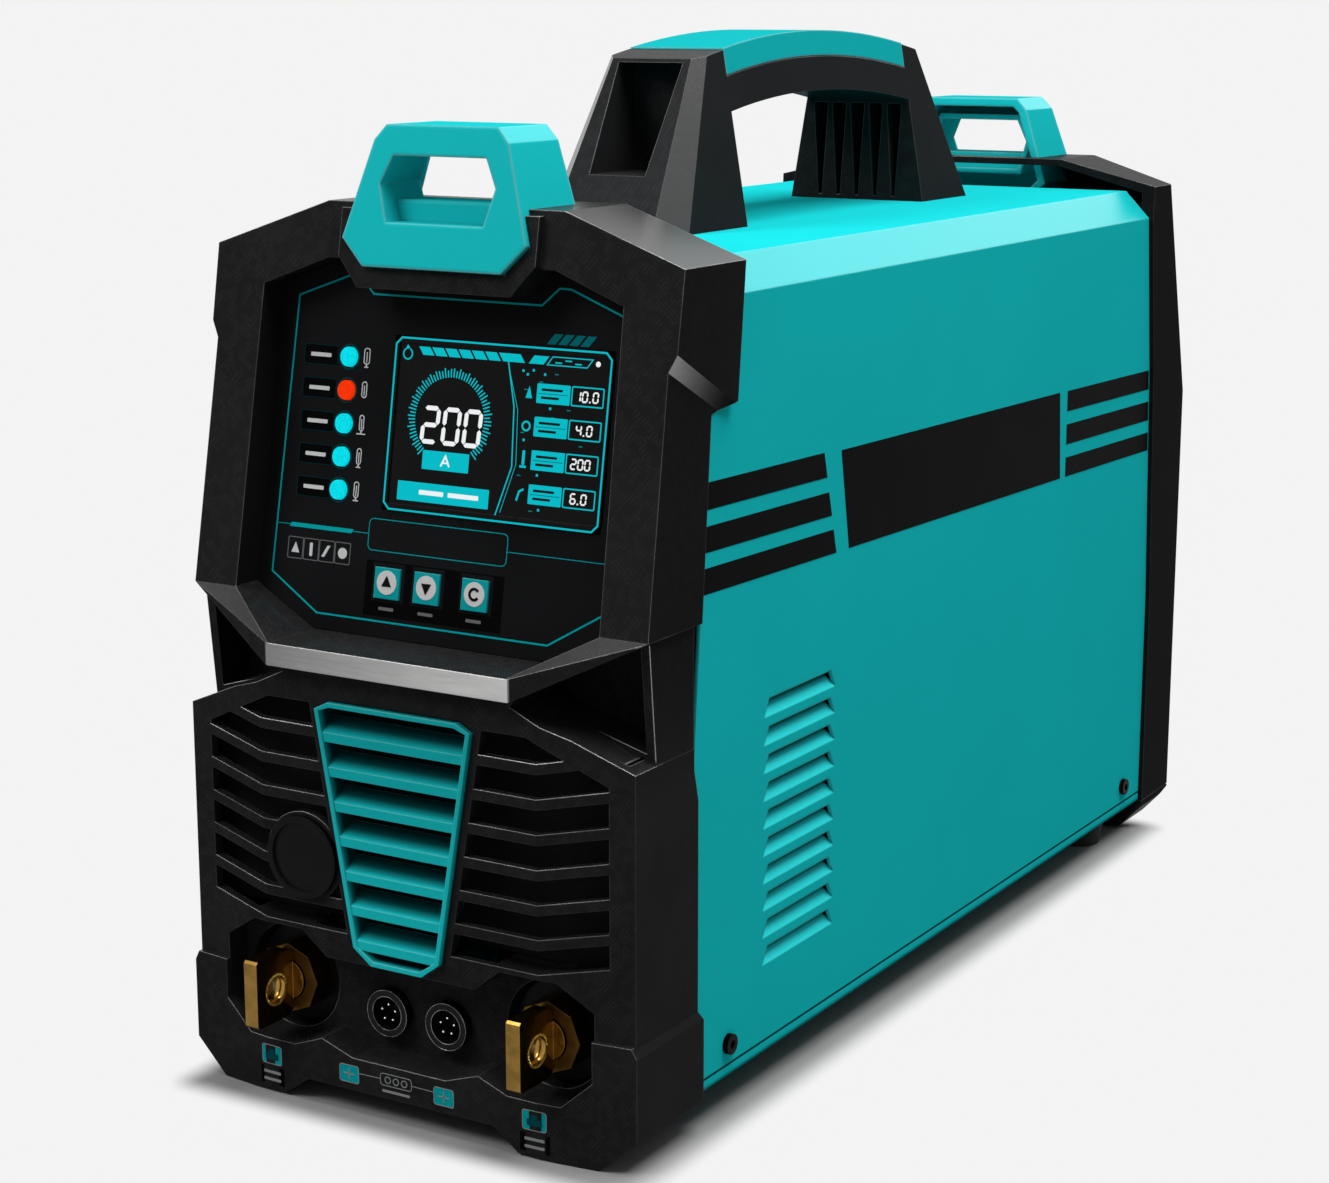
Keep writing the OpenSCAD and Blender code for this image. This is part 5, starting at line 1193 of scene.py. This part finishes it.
class WELDER_OT_stage(Dressing, bpy.types.Operator):
    """Set the pale floor, the soft lamps and the camera"""

    bl_idname = "welder.stage"
    bl_label = "Set the Stage"

    def execute(self, context):
        s = context.scene.welder.stage
        scene = context.scene
        scene.view_settings.view_transform = "Standard"
        self.floor(s)
        self.room(scene, s)
        self.lamp("top_lamp", s.key, (0.45, -0.1, 1.6), (0.0, 0.0, 0.2), (0.8, 1.0))
        self.lamp("rear_lamp", s.side, (0.3, 1.45, 1.1), (0.05, 0.1, 0.25), (0.9, 0.9))
        self.lamp("front_lamp", s.front, (-0.7, -1.1, 1.35), (0.0, -0.15, 0.25), (0.7, 0.7))
        camera = bpy.data.cameras.new("camera")
        camera.lens, camera.sensor_width = s.lens, 36
        camera.clip_start, camera.clip_end = 0.05, 200
        holder = bpy.data.objects.new("camera", camera)
        holder.location = CAMERA_PLACE
        holder.rotation_euler = (math.radians(90 - CAMERA_DIP), 0, math.radians(CAMERA_TURN))
        scene.collection.objects.link(holder)
        scene.camera = holder
        return {"FINISHED"}

    def seen(self, f):
        """1 for rays from the camera, off glossy and through clear surfaces."""
        outputs = f.node("LightPath").socket.node.outputs
        names = ("Is Camera Ray", "Is Glossy Ray", "Is Transmission Ray")
        camera, glossy, clear = (Field(f, outputs[name]) for name in names)
        return camera.highest(glossy).highest(clear)

    def floor(self, s):
        """A wide pale floor that glows like paper, except in the machine's soft footprint, which takes its shadow.

        Its matt floor, shifted right and short of the rear, is dark grey: a painted contact shadow besides the real
        one.
        """
        size, shift, rear_in, fade = 60.0, 5 * MM, 36 * MM, 0.017
        mesh = bpy.data.meshes.new("floor")
        mesh.from_pydata([(-size, -size, 0), (size, -size, 0), (size, size, 0), (-size, size, 0)], [], [(0, 1, 2, 3)])
        f = Finish("pale_floor")
        front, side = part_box("front_bezel")[0][1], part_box("casing")[1][0] - shift
        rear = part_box("rear_bezel")[1][1] - rear_in
        out_x = ((f.axis(0) - shift).size() - side).highest(0.0)
        out_y = ((f.axis(1) - (front + rear) / 2).size() - (rear - front) / 2).highest(0.0)
        share = ((out_x * out_x + out_y * out_y) ** 0.5).between(0.0, fade)
        # Painted contact shadow: the matt floor near the footprint is dark grey, and takes the real shadow too
        base = f.mix(f.noise(25.0), (0.33, 0.33, 0.33), (0.37, 0.37, 0.37))
        matt = f.node("BsdfDiffuse", None, {"Color": base})
        glow = f.node("Emission", None, {"Color": (1, 1, 1, 1), "Strength": s.paper})
        mesh.materials.append(f.close(f.node("MixShader", None, {0: share * self.seen(f), 1: matt, 2: glow})))
        obj = bpy.data.objects.new("floor", mesh)
        bpy.context.scene.collection.objects.link(obj)

    def room(self, scene, s):
        """Even light from all round, as bright as paper where it is seen."""
        f = Finish("room", "worlds")
        level = self.seen(f) * (s.paper - s.sky) + s.sky
        light = f.node("Background", None, {"Color": (1, 1, 1, 1), "Strength": level})
        scene.world = f.close(light, "World")

    def lamp(self, name, power, place, aim, size):
        light = bpy.data.lights.new(name, "AREA")
        light.energy, light.shape = power, "RECTANGLE"
        light.size, light.size_y = size
        holder = bpy.data.objects.new(name, light)
        holder.location = place
        holder.rotation_euler = (Vector(aim) - Vector(place)).to_track_quat("-Z", "Y").to_euler()
        bpy.context.scene.collection.objects.link(holder)


class WELDER_PT_tools(bpy.types.Panel):
    """Lists the dressing's steps and settings"""

    bl_label = "Stud Welder"
    bl_idname = "WELDER_PT_tools"
    bl_space_type = "VIEW_3D"
    bl_region_type = "UI"
    bl_category = "Welder"

    def draw(self, context):
        settings = context.scene.welder
        for step in STEPS:
            self.layout.operator(step.bl_idname)
        for group in (settings.colours, settings.print, settings.stage):
            box = self.layout.box()
            for name in group.__annotations__:
                box.prop(group, name)


# The eye ledges come after the solids, because they share the eyes' finish
STEPS = (
    WELDER_OT_stage, WELDER_OT_solids, WELDER_OT_film, WELDER_OT_screen, WELDER_OT_keys,
    WELDER_OT_foot, WELDER_OT_stripes, WELDER_OT_terminals, WELDER_OT_sockets, WELDER_OT_rocker,
    WELDER_OT_corner_feet, WELDER_OT_eye_ledges,
)
CLASSES = (WELDER_PG_colours, WELDER_PG_print, WELDER_PG_stage, WELDER_PG_settings, *STEPS, WELDER_PT_tools)


def register():
    for cls in CLASSES:
        bpy.utils.register_class(cls)
    bpy.types.Scene.welder = PointerProperty(type=WELDER_PG_settings)


def unregister():
    del bpy.types.Scene.welder
    for cls in reversed(CLASSES):
        bpy.utils.unregister_class(cls)


def main():
    register()
    for step in STEPS:
        group, name = step.bl_idname.split(".")
        getattr(getattr(bpy.ops, group), name)()


if __name__ == "__main__":
    main()
